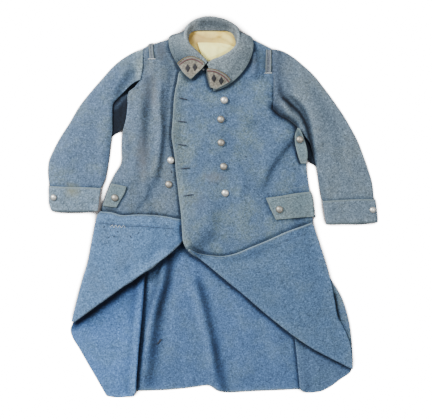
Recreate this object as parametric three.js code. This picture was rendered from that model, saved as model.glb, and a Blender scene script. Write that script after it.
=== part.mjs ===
// Military greatcoat, double breasted, laid flat on its back with both skirt corners turned back.
// Units are millimetres. +Z is up, +Y points to the collar, and the coat rests on z = 0.
// Left and right in names are the wearer's, so the wearer's right lies on the -X side.
import * as THREE from 'three';

// Driving dimensions
const WOOL = 2.6; // milled wool coating
const LINING = 1.2; // cotton lining
const COLLAR_WALL = 3; // collar cloth, interlined
const TRIM = 1.5; // patches and narrow strips
const GAP = 0.7; // space aimed at under a piece that lies on another
const LEAST_GAP = 0.4; // space never given up
const REACH = 15; // distance that cloth takes to come down beside what it lies on
const CELL = 5; // spacing of the height samples
const COLUMN = 30; // widest step across a panel
const BUTTON_RADIUS = 11.5;
const CUFF_BUTTON_RADIUS = 9.8;
const BUTTON_RISE = 7;
const SHANK_RADIUS = 3;
const BUTTON_SIDES = 16;
const BUTTON_DOME = [ // from the back of the rim to the crown, as shares of the radius and of the rise
  { out: 0.91, up: 0 },
  { out: 1, up: 0.2 },
  { out: 0.88, up: 0.55 },
  { out: 0.5, up: 0.9 },
  { out: 0, up: 1 },
];
const ROLL_RADIUS = 5; // roll line of the collar, to the middle of the cloth
const FLAP_LOFT = 1.4; // least extra room inside a turned-back corner
const FOLD_INSET = WOOL + 1.5 * FLAP_LOFT; // from the fold of a corner to where its cloth starts to turn
const FOLD_ARC = [-50, 0, 50]; // degrees, the rings round that fold
const CREASE_TAPER = 0.2; // share of a crease over which each end dies away
const CREASE_END = 0.15; // share of its height that is left there
const SLEEVE_LOFT = 2.5; // how far a sleeve stands proud of its under side
const CAP_EASE = 0.15; // share of a sleeve over which it rises from its cap seam
const SAMPLE = 4; // spacing of the points at which a laid panel is tried against what is below
const FINE_SAMPLE = 2;
const PASSES = 12; // rounds of lifting a laid panel clear
const CUFF_REACH = 9;
const FLAP_REACH = 6;
const LOOP_REACH = 4;
const PATCH_REACH = 3;
const SLEEVE_COLUMNS = 8;
const UNDER_COLUMNS = 4;
const PATCH_COLUMNS = 6;
const TAB_COLUMNS = 3;

// Colours
const GREY_BLUE = 0x768a9d;
const SKIRT_BLUE = 0x63809e;
const CREAM = 0xe0d8bc;
const PATCH_GREY = 0x968e80;
const SILVER = 0xc9c8c4;
const DARK_METAL = 0x3a3733;
const cloth = (color) => new THREE.MeshStandardMaterial({ color, roughness: 0.95, metalness: 0 });
const metal = (color, roughness) => new THREE.MeshStandardMaterial({ color, roughness, metalness: 1 });

// Panels, from the collar end to the hem. A row runs from its first column to its last, through via.
const BACK = [
  { left: [-80, 556], right: [77, 556] },
  { left: [-134, 535], right: [106, 535] },
  { left: [-179, 519], right: [150, 519] },
  { left: [-221, 499], right: [182, 499] },
  { left: [-221, 459], right: [186, 459] },
  { left: [-222, 414], right: [187, 414] },
  { left: [-234, 369], right: [182, 369] },
  { left: [-238, 318], right: [173, 318] },
  { left: [-235, 241], right: [178, 241] },
  { left: [-230, 151], right: [189, 151] },
  { left: [-226, 55], right: [205, 55] },
  { left: [-224, -41], right: [218, -41] },
  { left: [-222, -137], right: [234, -137] },
  { left: [-225, -201], right: [243, -201] },
  { left: [-232, -265], right: [252, -265] },
  { left: [-237, -335], right: [259, -335] },
  { left: [-243, -412], right: [267, -412] },
  { left: [-248, -482], right: [274, -482] },
  { left: [-252, -535], right: [280, -535] },
  { left: [-254, -560], via: [[-118, -560], [-10, -553], [86, -563]], right: [283, -560] },
  { left: [-255, -585], via: [[-210, -586], [-118, -581], [-51, -573], [-12, -569], [20, -588], [144, -587]],
    right: [285, -580] },
];
const SIDE_PANEL_RIGHT = [
  { seam: [-239, 353], side: [-258, 353] },
  { seam: [-236, 305], side: [-265, 305] },
  { seam: [-232, 235], side: [-280, 235] },
  { seam: [-227, 145], side: [-285, 145] },
  { seam: [-222, 55], side: [-326, 55] },
  { seam: [-218, -15], side: [-352, -15] },
  { seam: [-214, -85], side: [-368, -85] },
  { seam: [-212, -153], side: [-380, -153] },
  { seam: [-216, -207], side: [-395, -213] },
  { seam: [-219, -265], side: [-413, -274] },
  { seam: [-223, -316], side: [-429, -325] },
  { seam: [-227, -361], side: [-446, -367] },
  { seam: [-230, -393], side: [-455, -393] },
  { seam: [-232, -418], side: [-449, -415] },
  { seam: [-236, -453], side: [-428, -450] },
  { seam: [-239, -498], side: [-401, -497] },
  { seam: [-243, -546], side: [-373, -545] },
  { seam: [-245, -581], side: [-353, -581] },
  { seam: [-251, -602], via: [[-278, -606], [-314, -607]], side: [-340, -603] },
];
const SIDE_PANEL_LEFT = [
  { seam: [171, 337], side: [195, 337] },
  { seam: [173, 286], side: [234, 286] },
  { seam: [178, 235], side: [275, 235] },
  { seam: [187, 151], side: [290, 151] },
  { seam: [203, 55], side: [301, 55] },
  { seam: [216, -41], side: [310, -41] },
  { seam: [230, -130], side: [331, -130] },
  { seam: [239, -194], side: [352, -194] },
  { seam: [246, -258], side: [378, -255] },
  { seam: [252, -316], side: [411, -316] },
  { seam: [256, -367], side: [427, -373] },
  { seam: [260, -412], side: [435, -431] },
  { seam: [265, -457], side: [438, -476] },
  { seam: [269, -495], side: [441, -511] },
  { seam: [272, -527], side: [439, -527] },
  { seam: [275, -556], side: [405, -551] },
  { seam: [277, -575], side: [374, -574] },
  { seam: [286, -588], via: [[304, -592], [326, -591]], side: [349, -587] },
];
const FRONT_RIGHT = [
  { front: [19, 446], via: [[-32, 452], [-67, 481]], side: [-134, 537] },
  { front: [17, 433], via: [[-32, 439], [-102, 478]], side: [-179, 524] },
  { front: [15, 420], side: [-227, 504] },
  { front: [13, 395], side: [-227, 471] },
  { front: [10, 366], side: [-228, 439] },
  { front: [6, 337], side: [-234, 407] },
  { front: [3, 305], side: [-250, 383] },
  { front: [-1, 273], side: [-269, 366] },
  { front: [-4, 238], side: [-272, 324] },
  { front: [-8, 203], side: [-277, 283] },
  { front: [-12, 167], side: [-289, 235] },
  { front: [-15, 132], side: [-292, 187] },
  { front: [-18, 97], side: [-292, 142] },
  { front: [-21, 62], side: [-315, 103] },
  { front: [-24, 30], side: [-334, 62] },
  { front: [-26, 4], side: [-349, 20] },
  { front: [-27, -15], side: [-360, -18] },
  { front: [-28, -26], side: [-371, -82] },
  { front: [-29, -33], via: [[-131, -89], [-253, -124]], side: [-383, -149] },
  { front: [-30, -37], via: [[-134, -117], [-269, -185]], side: [-403, -226] },
  { front: [-31, -42], via: [[-138, -137], [-282, -229]], side: [-424, -303] },
  { front: [-32, -45], via: [[-141, -151], [-294, -260]], side: [-442, -367] },
];
const FRONT_LEFT = [
  { front: [-88, 445], via: [[-19, 449], [54, 473]], side: [112, 539] },
  { front: [-98, 437], via: [[-19, 439], [80, 468]], side: [150, 524] },
  { front: [-107, 430], side: [188, 504] },
  { front: [-113, 401], side: [191, 465] },
  { front: [-120, 369], side: [193, 423] },
  { front: [-124, 337], side: [195, 385] },
  { front: [-126, 302], side: [199, 353] },
  { front: [-129, 260], side: [227, 311] },
  { front: [-131, 225], side: [267, 267] },
  { front: [-126, 190], side: [291, 222] },
  { front: [-121, 155], side: [298, 180] },
  { front: [-118, 113], side: [297, 139] },
  { front: [-113, 71], side: [301, 97] },
  { front: [-108, 27], side: [308, 55] },
  { front: [-102, -18], side: [316, 11] },
  { front: [-99, -60], side: [318, -37] },
  { front: [-97, -89], side: [326, -92] },
  { front: [-96, -103], via: [[42, -108], [190, -130]], side: [349, -162] },
  { front: [-93, -113], via: [[48, -150], [205, -190]], side: [374, -226] },
  { front: [-90, -121], via: [[51, -185], [225, -255]], side: [411, -290] },
  { front: [-87, -127], via: [[54, -212], [245, -320]], side: [435, -373] },
  { front: [-83, -132], via: [[57, -233], [262, -377]], side: [444, -457] },
  { front: [-78, -135], via: [[59, -247], [278, -425]], side: [444, -517] },
];

// Turned-back skirt corners: free is the front edge and hem the hem, from the fold to the corner.
const CORNER_RIGHT = [
  { free: [-70, -41], hem: [-450, -361] },
  { free: [-104, -38], hem: [-440, -322] },
  { free: [-144, -30], hem: [-429, -277] },
  { free: [-195, -24], hem: [-414, -223] },
  { free: [-243, -23], hem: [-399, -175] },
  { free: [-288, -25], hem: [-390, -127] },
  { free: [-323, -16], hem: [-381, -79] },
  { free: [-358, -13], hem: [-369, -23] },
];
const CORNER_LEFT = [
  { free: [-42, -147], hem: [442, -473] },
  { free: [-6, -153], hem: [435, -431] },
  { free: [29, -155], hem: [418, -389] },
  { free: [64, -149], hem: [399, -351] },
  { free: [122, -126], hem: [387, -297] },
  { free: [166, -108], hem: [377, -245] },
  { free: [234, -77], hem: [360, -180] },
  { free: [285, -59], hem: [337, -109] },
  { free: [315, -48], hem: [319, -54] },
];

// Sleeves, from the cap to the cuff
const SLEEVE_TOP_RIGHT = [
  { inner: [-231, 406], via: [[-225, 439], [-224, 471]], outer: [-224, 503] },
  { inner: [-256, 393], outer: [-254, 495] },
  { inner: [-278, 372], outer: [-286, 476] },
  { inner: [-301, 351], outer: [-322, 446] },
  { inner: [-318, 331], outer: [-353, 411] },
  { inner: [-321, 289], outer: [-392, 366] },
  { inner: [-321, 247], outer: [-427, 321] },
  { inner: [-326, 206], outer: [-460, 265] },
  { inner: [-331, 164], outer: [-488, 222] },
  { inner: [-336, 129], outer: [-509, 182] },
  { inner: [-343, 94], outer: [-525, 142] },
  { inner: [-352, 71], outer: [-527, 107] },
  { inner: [-360, 59], outer: [-522, 65] },
  { inner: [-365, 23], outer: [-518, 27] },
  { inner: [-367, -7], outer: [-515, -5] },
];
const SLEEVE_UNDER_RIGHT = [
  { inner: [-246, 395], outer: [-246, 478] },
  { inner: [-256, 369], outer: [-285, 459] },
  { inner: [-262, 340], outer: [-330, 413] },
  { inner: [-266, 299], outer: [-375, 366] },
  { inner: [-282, 256], outer: [-413, 318] },
  { inner: [-332, 216], outer: [-448, 262] },
  { inner: [-342, 164], outer: [-477, 214] },
  { inner: [-349, 122], outer: [-507, 158] },
  { inner: [-362, 71], outer: [-513, 100] },
  { inner: [-374, 20], outer: [-508, 22] },
  { inner: [-376, -4], outer: [-506, -3] },
];
const SLEEVE_TOP_LEFT = [
  { inner: [190, 313], via: [[192, 353], [190, 423]], outer: [187, 503] },
  { inner: [214, 292], outer: [220, 500] },
  { inner: [240, 279], outer: [252, 482] },
  { inner: [266, 257], outer: [285, 455] },
  { inner: [289, 230], outer: [323, 420] },
  { inner: [308, 206], outer: [359, 375] },
  { inner: [317, 177], outer: [390, 332] },
  { inner: [325, 147], outer: [419, 289] },
  { inner: [332, 119], outer: [442, 249] },
  { inner: [336, 89], outer: [463, 209] },
  { inner: [340, 62], outer: [479, 167] },
  { inner: [344, 39], outer: [496, 119] },
  { inner: [347, 27], outer: [508, 78] },
  { inner: [352, 14], outer: [513, 33] },
  { inner: [357, -18], outer: [516, -2] },
  { inner: [363, -46], outer: [517, -41] },
];
const SLEEVE_UNDER_LEFT = [
  { inner: [215, 330], outer: [215, 478] },
  { inner: [250, 300], outer: [262, 459] },
  { inner: [270, 262], outer: [306, 420] },
  { inner: [282, 222], outer: [348, 366] },
  { inner: [294, 180], outer: [384, 318] },
  { inner: [304, 150], outer: [413, 272] },
  { inner: [343, 119], outer: [442, 225] },
  { inner: [351, 60], outer: [474, 151] },
  { inner: [359, 20], outer: [499, 65] },
  { inner: [369, -18], outer: [503, 0] },
  { inner: [374, -42], outer: [504, -38] },
];
const CUFF_RIGHT = [
  { inner: [-357, 61], via: [[-413, 64], [-470, 65]], outer: [-524, 68] },
  { inner: [-362, 33], outer: [-523, 39] },
  { inner: [-364, 4], outer: [-522, 7] },
  { inner: [-366, -12], via: [[-413, -16], [-467, -17]], outer: [-513, -13] },
];
const CUFF_LEFT = [
  { inner: [348, 20], via: [[406, 23], [464, 26]], outer: [519, 25] },
  { inner: [353, -9], outer: [521, -2] },
  { inner: [357, -34], outer: [525, -27] },
  { inner: [361, -55], via: [[413, -53], [470, -54]], outer: [527, -48] },
];

// Lining in the neck, flaps, tab, loops and patches
const LINING_BACK = [
  { left: [-62, 556], right: [58, 556] },
  { left: [-80, 543], right: [80, 543] },
  { left: [-86, 523], right: [86, 523] },
  { left: [-83, 497], right: [86, 497] },
  { left: [-67, 471], right: [67, 465] },
];
const LINING_YOKE = [
  { left: [-49, 524], via: [[-10, 524], [35, 521]], right: [83, 505] },
  { left: [-44, 508], right: [83, 494] },
  { left: [-37, 487], right: [80, 478] },
  { left: [-30, 465], right: [64, 452] },
  { left: [-22, 439], right: [48, 420] },
];
const POCKET_FLAP_RIGHT = [
  { left: [-324, 76], right: [-275, 66] },
  { left: [-335, 52], right: [-282, 44] },
  { left: [-343, 28], right: [-295, 22] },
  { left: [-351, 4], right: [-308, -1] },
];
const POCKET_FLAP_LEFT = [
  { left: [168, 30], via: [[214, 36], [266, 45]], right: [312, 50] },
  { left: [177, 9], right: [320, 27] },
  { left: [188, -16], right: [323, -2] },
  { left: [200, -40], via: [[243, -36], [288, -32]], right: [330, -30] },
];
const BELT_TAB = [
  { left: [268, 252], right: [276, 249] },
  { left: [261, 233], right: [285, 229] },
  { left: [260, 209], right: [294, 204] },
  { left: [266, 180], right: [300, 178] },
  { left: [273, 156], right: [301, 156] },
  { left: [280, 139], right: [296, 139] },
];
const SHOULDER_LOOP_RIGHT = [
  { left: [-206, 522], right: [-192, 525] },
  { left: [-202, 475], right: [-187, 475] },
];
const SHOULDER_LOOP_LEFT = [
  { left: [169, 502], right: [186, 502] },
  { left: [167, 430], right: [185, 430] },
];
const PATCH_RIGHT = [
  { left: [-115, 460], via: [[-91, 477], [-67, 482], [-45, 475]], right: [-27, 462] },
  { left: [-108, 450], right: [-27, 452] },
  { left: [-97, 433], right: [-36, 440] },
  { left: [-82, 419], right: [-55, 424] },
  { left: [-72, 411], right: [-67, 412] },
];
const PATCH_LEFT = [
  { left: [-20, 441], via: [[10, 437], [41, 422]], right: [57, 406] },
  { left: [-21, 424], right: [49, 399] },
  { left: [-16, 404], right: [33, 391] },
  { left: [-10, 385], right: [10, 379] },
];
const COLLAR_HOOK = [
  { left: [-27, 456], right: [-15, 456] },
  { left: [-27, 442], right: [-15, 442] },
];

// Collar, from the wearer's right end round the back of the neck to the left end.
// lean is the tilt of the roll line: 0 stands up, 90 lies over with the fall under the back.
const COLLAR = [
  { neck: [-20, 449], roll: [-19, 460], fall: [-69, 409], rise: 15, lean: 0 },
  { neck: [-39, 470], roll: [-41, 484], fall: [-91, 429], rise: 18, lean: 0 },
  { neck: [-58, 489], roll: [-61, 500], fall: [-117, 462], rise: 21, lean: 0 },
  { neck: [-75, 508], roll: [-80, 515], fall: [-136, 500], rise: 23, lean: 8 },
  { neck: [-80, 530], roll: [-88, 535], fall: [-141, 531], rise: 22, lean: 20 },
  { neck: [-78, 540], roll: [-90, 548], fall: [-138, 544], rise: 19, lean: 38, edge: 10 },
  { neck: [-75, 550], roll: [-88, 562], fall: [-126, 552], rise: 15, lean: 58 },
  { neck: [-61, 560], roll: [-75, 583], fall: [-102, 532], rise: 9, lean: 78 },
  { neck: [-40, 562], roll: [-49, 599], fall: [-64, 517], rise: 5, lean: 90 },
  { neck: [-16, 562], roll: [-17, 606], fall: [-16, 513], rise: 4, lean: 90 },
  { neck: [19, 562], roll: [19, 602], fall: [35, 519], rise: 4, lean: 90 },
  { neck: [47, 560], roll: [56, 587], fall: [80, 532], rise: 9, lean: 78 },
  { neck: [64, 549], roll: [79, 565], fall: [112, 550], rise: 15, lean: 58 },
  { neck: [69, 539], roll: [82, 550], fall: [124, 541], rise: 19, lean: 38, edge: 10 },
  { neck: [72, 529], roll: [83, 535], fall: [128, 522], rise: 22, lean: 20 },
  { neck: [72, 508], roll: [78, 508], fall: [124, 487], rise: 23, lean: 8 },
  { neck: [53, 487], roll: [56, 486], fall: [106, 447], rise: 21, lean: 0 },
  { neck: [26, 471], roll: [27, 471], fall: [72, 409], rise: 18, lean: 0 },
  { neck: [1, 460], roll: [0, 462], fall: [35, 385], rise: 16, lean: 0 },
  { neck: [-15, 447], roll: [-20, 451], fall: [2, 374], rise: 14, lean: 0 },
];
const FIRST_UNDER = 6; // stations whose fall lies on the floor, under the back
const LAST_UNDER = 12;
const ROLL_ARC = [-90, -45, 0, 45, 90]; // degrees round the roll line
const STAND_POINTS = 5; // points of a section from the neck seam to the top of the roll
const FALL_DROPS = [0.2, 0.45, 0.72]; // share of its drop that the fall has made by each quarter
const HIDDEN_DROPS = [0.6, 0.96, 1];
const HIDDEN_EASE = 1; // room left over the hidden fall

// Folds in the cloth: height along path, and how far the cloth takes to fall away on each side
const FOLDS_FRONT_RIGHT = [
  { path: [[-170, 433], [-182, 331], [-189, 235], [-198, 139], [-211, 49]], height: 7, left: 14, right: 18 },
  { path: [[-211, 452], [-227, 356], [-246, 260], [-262, 151], [-278, 55]], height: 6, left: 18, right: 12 },
];
const FOLDS_FRONT_LEFT = [
  { path: [[269, 236], [238, 200], [205, 158], [181, 112], [166, 60]], height: 8, left: 22, right: 12 },
  { path: [[189, 350], [157, 334], [138, 299], [125, 247]], height: 6, left: 12, right: 16 },
  { path: [[106, 49], [96, -21], [106, -92]], height: 4, left: 14, right: 14 },
];
const FOLDS_BACK = [
  { path: [[-150, -137], [-162, -233], [-181, -335], [-201, -441], [-217, -560]], height: 13, left: 14, right: 14 },
  { path: [[-112, -180], [-122, -265], [-131, -350], [-135, -441], [-146, -560]], height: 11, left: 12, right: 26 },
  { path: [[-68, -220], [-48, -300], [-28, -386], [-9, -463], [2, -560]], height: 14, left: 30, right: 12 },
  { path: [[86, -200], [96, -425], [118, -560]], height: 8, left: 40, right: 40 },
];
const FOLDS_SLEEVE_RIGHT = [
  { path: [[-275, 440], [-300, 400], [-330, 350]], height: 5, left: 14, right: 14 },
  { path: [[-387, 318], [-413, 241], [-419, 151]], height: 4, left: 20, right: 20 },
];
const FOLDS_SLEEVE_LEFT = [
  { path: [[224, 330], [255, 300], [282, 268], [302, 225]], height: 8, left: 14, right: 12 },
  { path: [[256, 390], [300, 343], [335, 279], [375, 209], [405, 132]], height: 4, left: 20, right: 20 },
];
const NO_FOLDS = [];

const group = new THREE.Group();
group.name = 'military_greatcoat';

// Everything laid so far, kept as top triangles in square bins, so that the next piece can rest on it
const BIN = 24;
const bins = new Map();
const peaks = new Map(); // the corners of those triangles, in the same bins
const binKey = (x, y) => `${Math.floor(x / BIN)},${Math.floor(y / BIN)}`;

function addPeak(p) {
  const key = binKey(p[0], p[1]);
  if (!peaks.has(key)) peaks.set(key, []);
  peaks.get(key).push(p);
}

function addTop(a, b, c) {
  const x0 = Math.floor(Math.min(a[0], b[0], c[0]) / BIN);
  const x1 = Math.floor(Math.max(a[0], b[0], c[0]) / BIN);
  const y0 = Math.floor(Math.min(a[1], b[1], c[1]) / BIN);
  const y1 = Math.floor(Math.max(a[1], b[1], c[1]) / BIN);
  for (let i = x0; i <= x1; i++) {
    for (let j = y0; j <= y1; j++) {
      const key = `${i},${j}`;
      if (!bins.has(key)) bins.set(key, []);
      bins.get(key).push([a, b, c]);
    }
  }
}

const OUTSIDE = -1;

function heightIn(x, y, [a, b, c]) {
  const area = (b[0] - a[0]) * (c[1] - a[1]) - (c[0] - a[0]) * (b[1] - a[1]);
  if (Math.abs(area) < 1e-6) return OUTSIDE;
  const s = ((b[0] - x) * (c[1] - y) - (c[0] - x) * (b[1] - y)) / area;
  const t = ((c[0] - x) * (a[1] - y) - (a[0] - x) * (c[1] - y)) / area;
  if (s < -1e-6 || t < -1e-6 || s + t > 1 + 1e-6) return OUTSIDE;
  return s * a[2] + t * b[2] + (1 - s - t) * c[2];
}

function topAt(x, y) {
  let top = 0;
  for (const triangle of bins.get(binKey(x, y)) ?? []) top = Math.max(top, heightIn(x, y, triangle));
  return top;
}

function* peaksIn(...corners) {
  const [xs, ys] = [0, 1].map((k) => corners.map((p) => Math.floor(p[k] / BIN)));
  for (let i = Math.min(...xs); i <= Math.max(...xs); i++) {
    for (let j = Math.min(...ys); j <= Math.max(...ys); j++) yield* peaks.get(`${i},${j}`) ?? [];
  }
}

// A soft surface over all that is laid: the highest point within reach, then a running mean
function restSurface(points, reach) {
  const xs = points.map((p) => p[0]);
  const ys = points.map((p) => p[1]);
  const margin = 3 * reach;
  const x0 = Math.min(...xs) - margin;
  const y0 = Math.min(...ys) - margin;
  const cell = Math.min(CELL, reach / 3);
  const nx = Math.ceil((Math.max(...xs) + margin - x0) / cell) + 1;
  const ny = Math.ceil((Math.max(...ys) + margin - y0) / cell) + 1;
  const n = Math.round(reach / cell);
  let field = new Float64Array(nx * ny);
  for (let j = 0; j < ny; j++) {
    for (let i = 0; i < nx; i++) field[j * nx + i] = topAt(x0 + i * cell, y0 + j * cell);
  }
  const sweep = (source, dx, dy, span, join, start, finish) => {
    const out = new Float64Array(nx * ny);
    for (let j = 0; j < ny; j++) {
      for (let i = 0; i < nx; i++) {
        let value = start;
        for (let k = -span; k <= span; k++) {
          const x = Math.min(nx - 1, Math.max(0, i + k * dx));
          const y = Math.min(ny - 1, Math.max(0, j + k * dy));
          value = join(value, source[y * nx + x]);
        }
        out[j * nx + i] = finish(value, span);
      }
    }
    return out;
  };
  const highest = [(a, b) => Math.max(a, b), 0, (v) => v];
  const mean = [(a, b) => a + b, 0, (v, span) => v / (2 * span + 1)];
  const half = Math.max(1, Math.floor(n / 2));
  field = sweep(sweep(field, 1, 0, n, ...highest), 0, 1, n, ...highest);
  for (let pass = 0; pass < 2; pass++) field = sweep(sweep(field, 1, 0, half, ...mean), 0, 1, half, ...mean);
  return (x, y) => {
    const fx = (x - x0) / cell;
    const fy = (y - y0) / cell;
    const i = Math.floor(fx);
    const j = Math.floor(fy);
    const u = fx - i;
    const v = fy - j;
    const at = (a, b) => field[b * nx + a];
    return (at(i, j) * (1 - u) + at(i + 1, j) * u) * (1 - v) + (at(i, j + 1) * (1 - u) + at(i + 1, j + 1) * u) * v;
  };
}

const smooth = (t) => {
  const s = Math.min(1, Math.max(0, t));
  return s * s * (3 - 2 * s);
};

// Height that the folds give at a point. left and right are as seen when walking along the path.
function foldHeight(folds, x, y) {
  let height = 0;
  for (const fold of folds) {
    let best = { distance: Infinity, side: 1, along: 0 };
    fold.path.slice(1).forEach((end, k) => {
      const start = fold.path[k];
      const dx = end[0] - start[0];
      const dy = end[1] - start[1];
      const raw = ((x - start[0]) * dx + (y - start[1]) * dy) / (dx * dx + dy * dy);
      const t = Math.min(1, Math.max(0, raw));
      const px = x - start[0] - t * dx;
      const py = y - start[1] - t * dy;
      const distance = Math.hypot(px, py);
      if (distance < best.distance) {
        best = { distance, side: Math.sign(dx * py - dy * px) || 1, along: (k + t) / (fold.path.length - 1) };
      }
    });
    const width = best.side > 0 ? fold.left : fold.right;
    const middle = smooth(best.along / CREASE_TAPER) * smooth((1 - best.along) / CREASE_TAPER);
    const fade = CREASE_END + (1 - CREASE_END) * middle;
    height += fold.height * fade * Math.exp(-((best.distance / width) ** 2));
  }
  return height;
}

// A grid of plan points: one row for each table row, spaced evenly along it
function planGrid(rows, first, last, columns) {
  return rows.map((row) => {
    const points = [row[first], ...(row.via ?? []), row[last]].map(([x, y]) => new THREE.Vector3(x, y, 0));
    const curve = new THREE.CatmullRomCurve3(points, false, 'centripetal');
    return curve.getSpacedPoints(columns).map((p) => [p.x, p.y]);
  });
}

function columnsFor(rows, first, last) {
  const widths = rows.map((row) => Math.hypot(row[first][0] - row[last][0], row[first][1] - row[last][1]));
  return Math.max(2, Math.ceil(Math.max(...widths) / COLUMN));
}

// The two triangles of each cell of a grid, as row and column pairs
function* cells(rows, columns) {
  for (let r = 0; r < rows - 1; r++) {
    for (let c = 0; c < columns - 1; c++) {
      yield [[r, c], [r + 1, c], [r + 1, c + 1]];
      yield [[r, c], [r + 1, c + 1], [r, c + 1]];
    }
  }
}

// Lays a grid of plan points on all that is there, and returns it with its underside heights
function lay(plan, { lift = () => 0, gap = GAP, reach = REACH, sample = SAMPLE }) {
  const rest = restSurface(plan.flat(), reach);
  const grid = plan.map((row, r) => row.map(([x, y], c) => {
    const base = rest(x, y);
    return [x, y, base + gap * Math.min(1, base) + lift(x, y, c / (row.length - 1), r / (plan.length - 1))];
  }));
  for (let pass = 0; pass < PASSES; pass++) {
    let worst = 0;
    for (const corners of cells(grid.length, grid[0].length)) {
      const [a, b, c] = corners.map(([r, k]) => grid[r][k]);
      const size = Math.max(Math.hypot(a[0] - b[0], a[1] - b[1]), Math.hypot(c[0] - b[0], c[1] - b[1]));
      const n = Math.max(2, Math.ceil(size / sample));
      let need = 0;
      for (let i = 0; i <= n; i++) {
        for (let j = 0; j <= n - i; j++) {
          const u = i / n;
          const v = j / n;
          const w = 1 - u - v;
          const top = topAt(a[0] * u + b[0] * v + c[0] * w, a[1] * u + b[1] * v + c[1] * w);
          const height = a[2] * u + b[2] * v + c[2] * w;
          if (top > 0.01) need = Math.max(need, top + LEAST_GAP - height);
        }
      }
      for (const p of peaksIn(a, b, c)) {
        const height = heightIn(p[0], p[1], [a, b, c]);
        if (height !== OUTSIDE) need = Math.max(need, p[2] + LEAST_GAP - height);
      }
      if (need > 0) {
        for (const [r, k] of corners) grid[r][k][2] += need;
        worst = Math.max(worst, need);
      }
    }
    if (worst < 0.01) break;
  }
  return grid;
}

const raised = (grid, by) => grid.map((row) => row.map(([x, y, z]) => [x, y, z + by]));

function keepTop(grid) {
  grid.flat().forEach(addPeak);
  for (const corners of cells(grid.length, grid[0].length)) addTop(...corners.map(([r, c]) => grid[r][c]));
}

function addMesh(name, material, positions, indices) {
  const a = new THREE.Vector3();
  const b = new THREE.Vector3();
  const c = new THREE.Vector3();
  let volume = 0;
  for (let i = 0; i < indices.length; i += 3) {
    a.fromArray(positions, indices[i] * 3);
    b.fromArray(positions, indices[i + 1] * 3);
    c.fromArray(positions, indices[i + 2] * 3);
    volume += a.dot(b.cross(c));
  }
  if (volume < 0) indices.reverse();
  const geometry = new THREE.BufferGeometry();
  geometry.setAttribute('position', new THREE.Float32BufferAttribute(positions, 3));
  geometry.setIndex(indices);
  geometry.computeVertexNormals();
  const mesh = new THREE.Mesh(geometry, material);
  mesh.name = name;
  group.add(mesh);
  return mesh;
}

// A closed wall between two grids of points, one on each face of the cloth
function addWall(name, material, face, back) {
  const rows = face.length;
  const columns = face[0].length;
  const count = rows * columns;
  const at = (r, c) => r * columns + c;
  const positions = [...face.flat(), ...back.flat()].flat();
  const indices = [];
  for (const corners of cells(rows, columns)) {
    const [a, b, c] = corners.map(([r, k]) => at(r, k));
    indices.push(a, b, c, count + a, count + c, count + b);
  }
  const rim = [];
  for (let r = 0; r < rows - 1; r++) rim.push(at(r, 0));
  for (let c = 0; c < columns - 1; c++) rim.push(at(rows - 1, c));
  for (let r = rows - 1; r > 0; r--) rim.push(at(r, columns - 1));
  for (let c = columns - 1; c > 0; c--) rim.push(at(0, c));
  rim.forEach((from, k) => {
    const to = rim[(k + 1) % rim.length];
    indices.push(to, from, count + from, to, count + from, count + to);
  });
  return addMesh(name, material, positions, indices);
}

function addPanel(name, material, rows, [first, last], thickness, options = {}) {
  const columns = options.columns ?? columnsFor(rows, first, last);
  const under = lay(planGrid(rows, first, last, columns), options);
  const over = raised(under, thickness);
  keepTop(over);
  addWall(name, material, over, under);
}

// A front panel goes down to the fold of its skirt corner, round it, and back up to the corner
function addFront(name, material, rows, corner, outward, folds) {
  const columns = columnsFor(rows, 'front', 'side');
  const plan = planGrid(rows, 'front', 'side', columns);
  const fold = plan[plan.length - 1];
  const away = fold.map((p, c) => {
    const from = fold[Math.max(0, c - 1)];
    const to = fold[Math.min(columns, c + 1)];
    const length = Math.hypot(to[0] - from[0], to[1] - from[1]);
    return [(outward * (to[1] - from[1])) / length, (-outward * (to[0] - from[0])) / length];
  });
  plan[plan.length - 1] = fold.map(([x, y], c) => [x - away[c][0] * FOLD_INSET, y - away[c][1] * FOLD_INSET]);
  const skirt = (x, y) => foldHeight(folds, x, y);
  const under = lay(plan, { lift: skirt });
  const over = raised(under, WOOL);
  keepTop(over);
  const flapPlan = [plan[plan.length - 1], ...planGrid(corner, 'free', 'hem', columns)];
  const flapUnder = lay(flapPlan, { lift: () => FLAP_LOFT });
  const flapOver = raised(flapUnder, WOOL);
  const outer = [...under];
  const inner = [...over];
  const start = under[under.length - 1];
  for (const angle of FOLD_ARC) {
    const turn = THREE.MathUtils.degToRad(angle);
    const ring = (from, to) => start.map(([x, y], c) => {
      const radius = (to[c][2] - from[c][2]) / 2;
      const out = radius * Math.cos(turn);
      return [x + away[c][0] * out, y + away[c][1] * out, from[c][2] + radius * (1 + Math.sin(turn))];
    });
    outer.push(ring(start, flapOver[0]));
    inner.push(ring(over[over.length - 1], flapUnder[0]));
  }
  outer.push(...flapOver);
  inner.push(...flapUnder);
  keepTop(outer.slice(under.length - 1));
  addWall(name, material, outer, inner);
}

// The hidden fall of the collar lies on the floor first, and the back lies on it
function layHiddenFall() {
  const stations = COLLAR.slice(FIRST_UNDER, LAST_UNDER + 1);
  const top = stations.map(({ roll, fall }) => [roll, fall].map((p) => [...p, COLLAR_WALL + HIDDEN_EASE]));
  keepTop(top);
}

// The highest point within a few millimetres, because collar cloth is too stiff to follow small steps
const NEAR = [-10, -5, 0, 5, 10];
const topNear = (x, y) => Math.max(...NEAR.flatMap((dx) => NEAR.map((dy) => topAt(x + dx, y + dy))));

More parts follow.
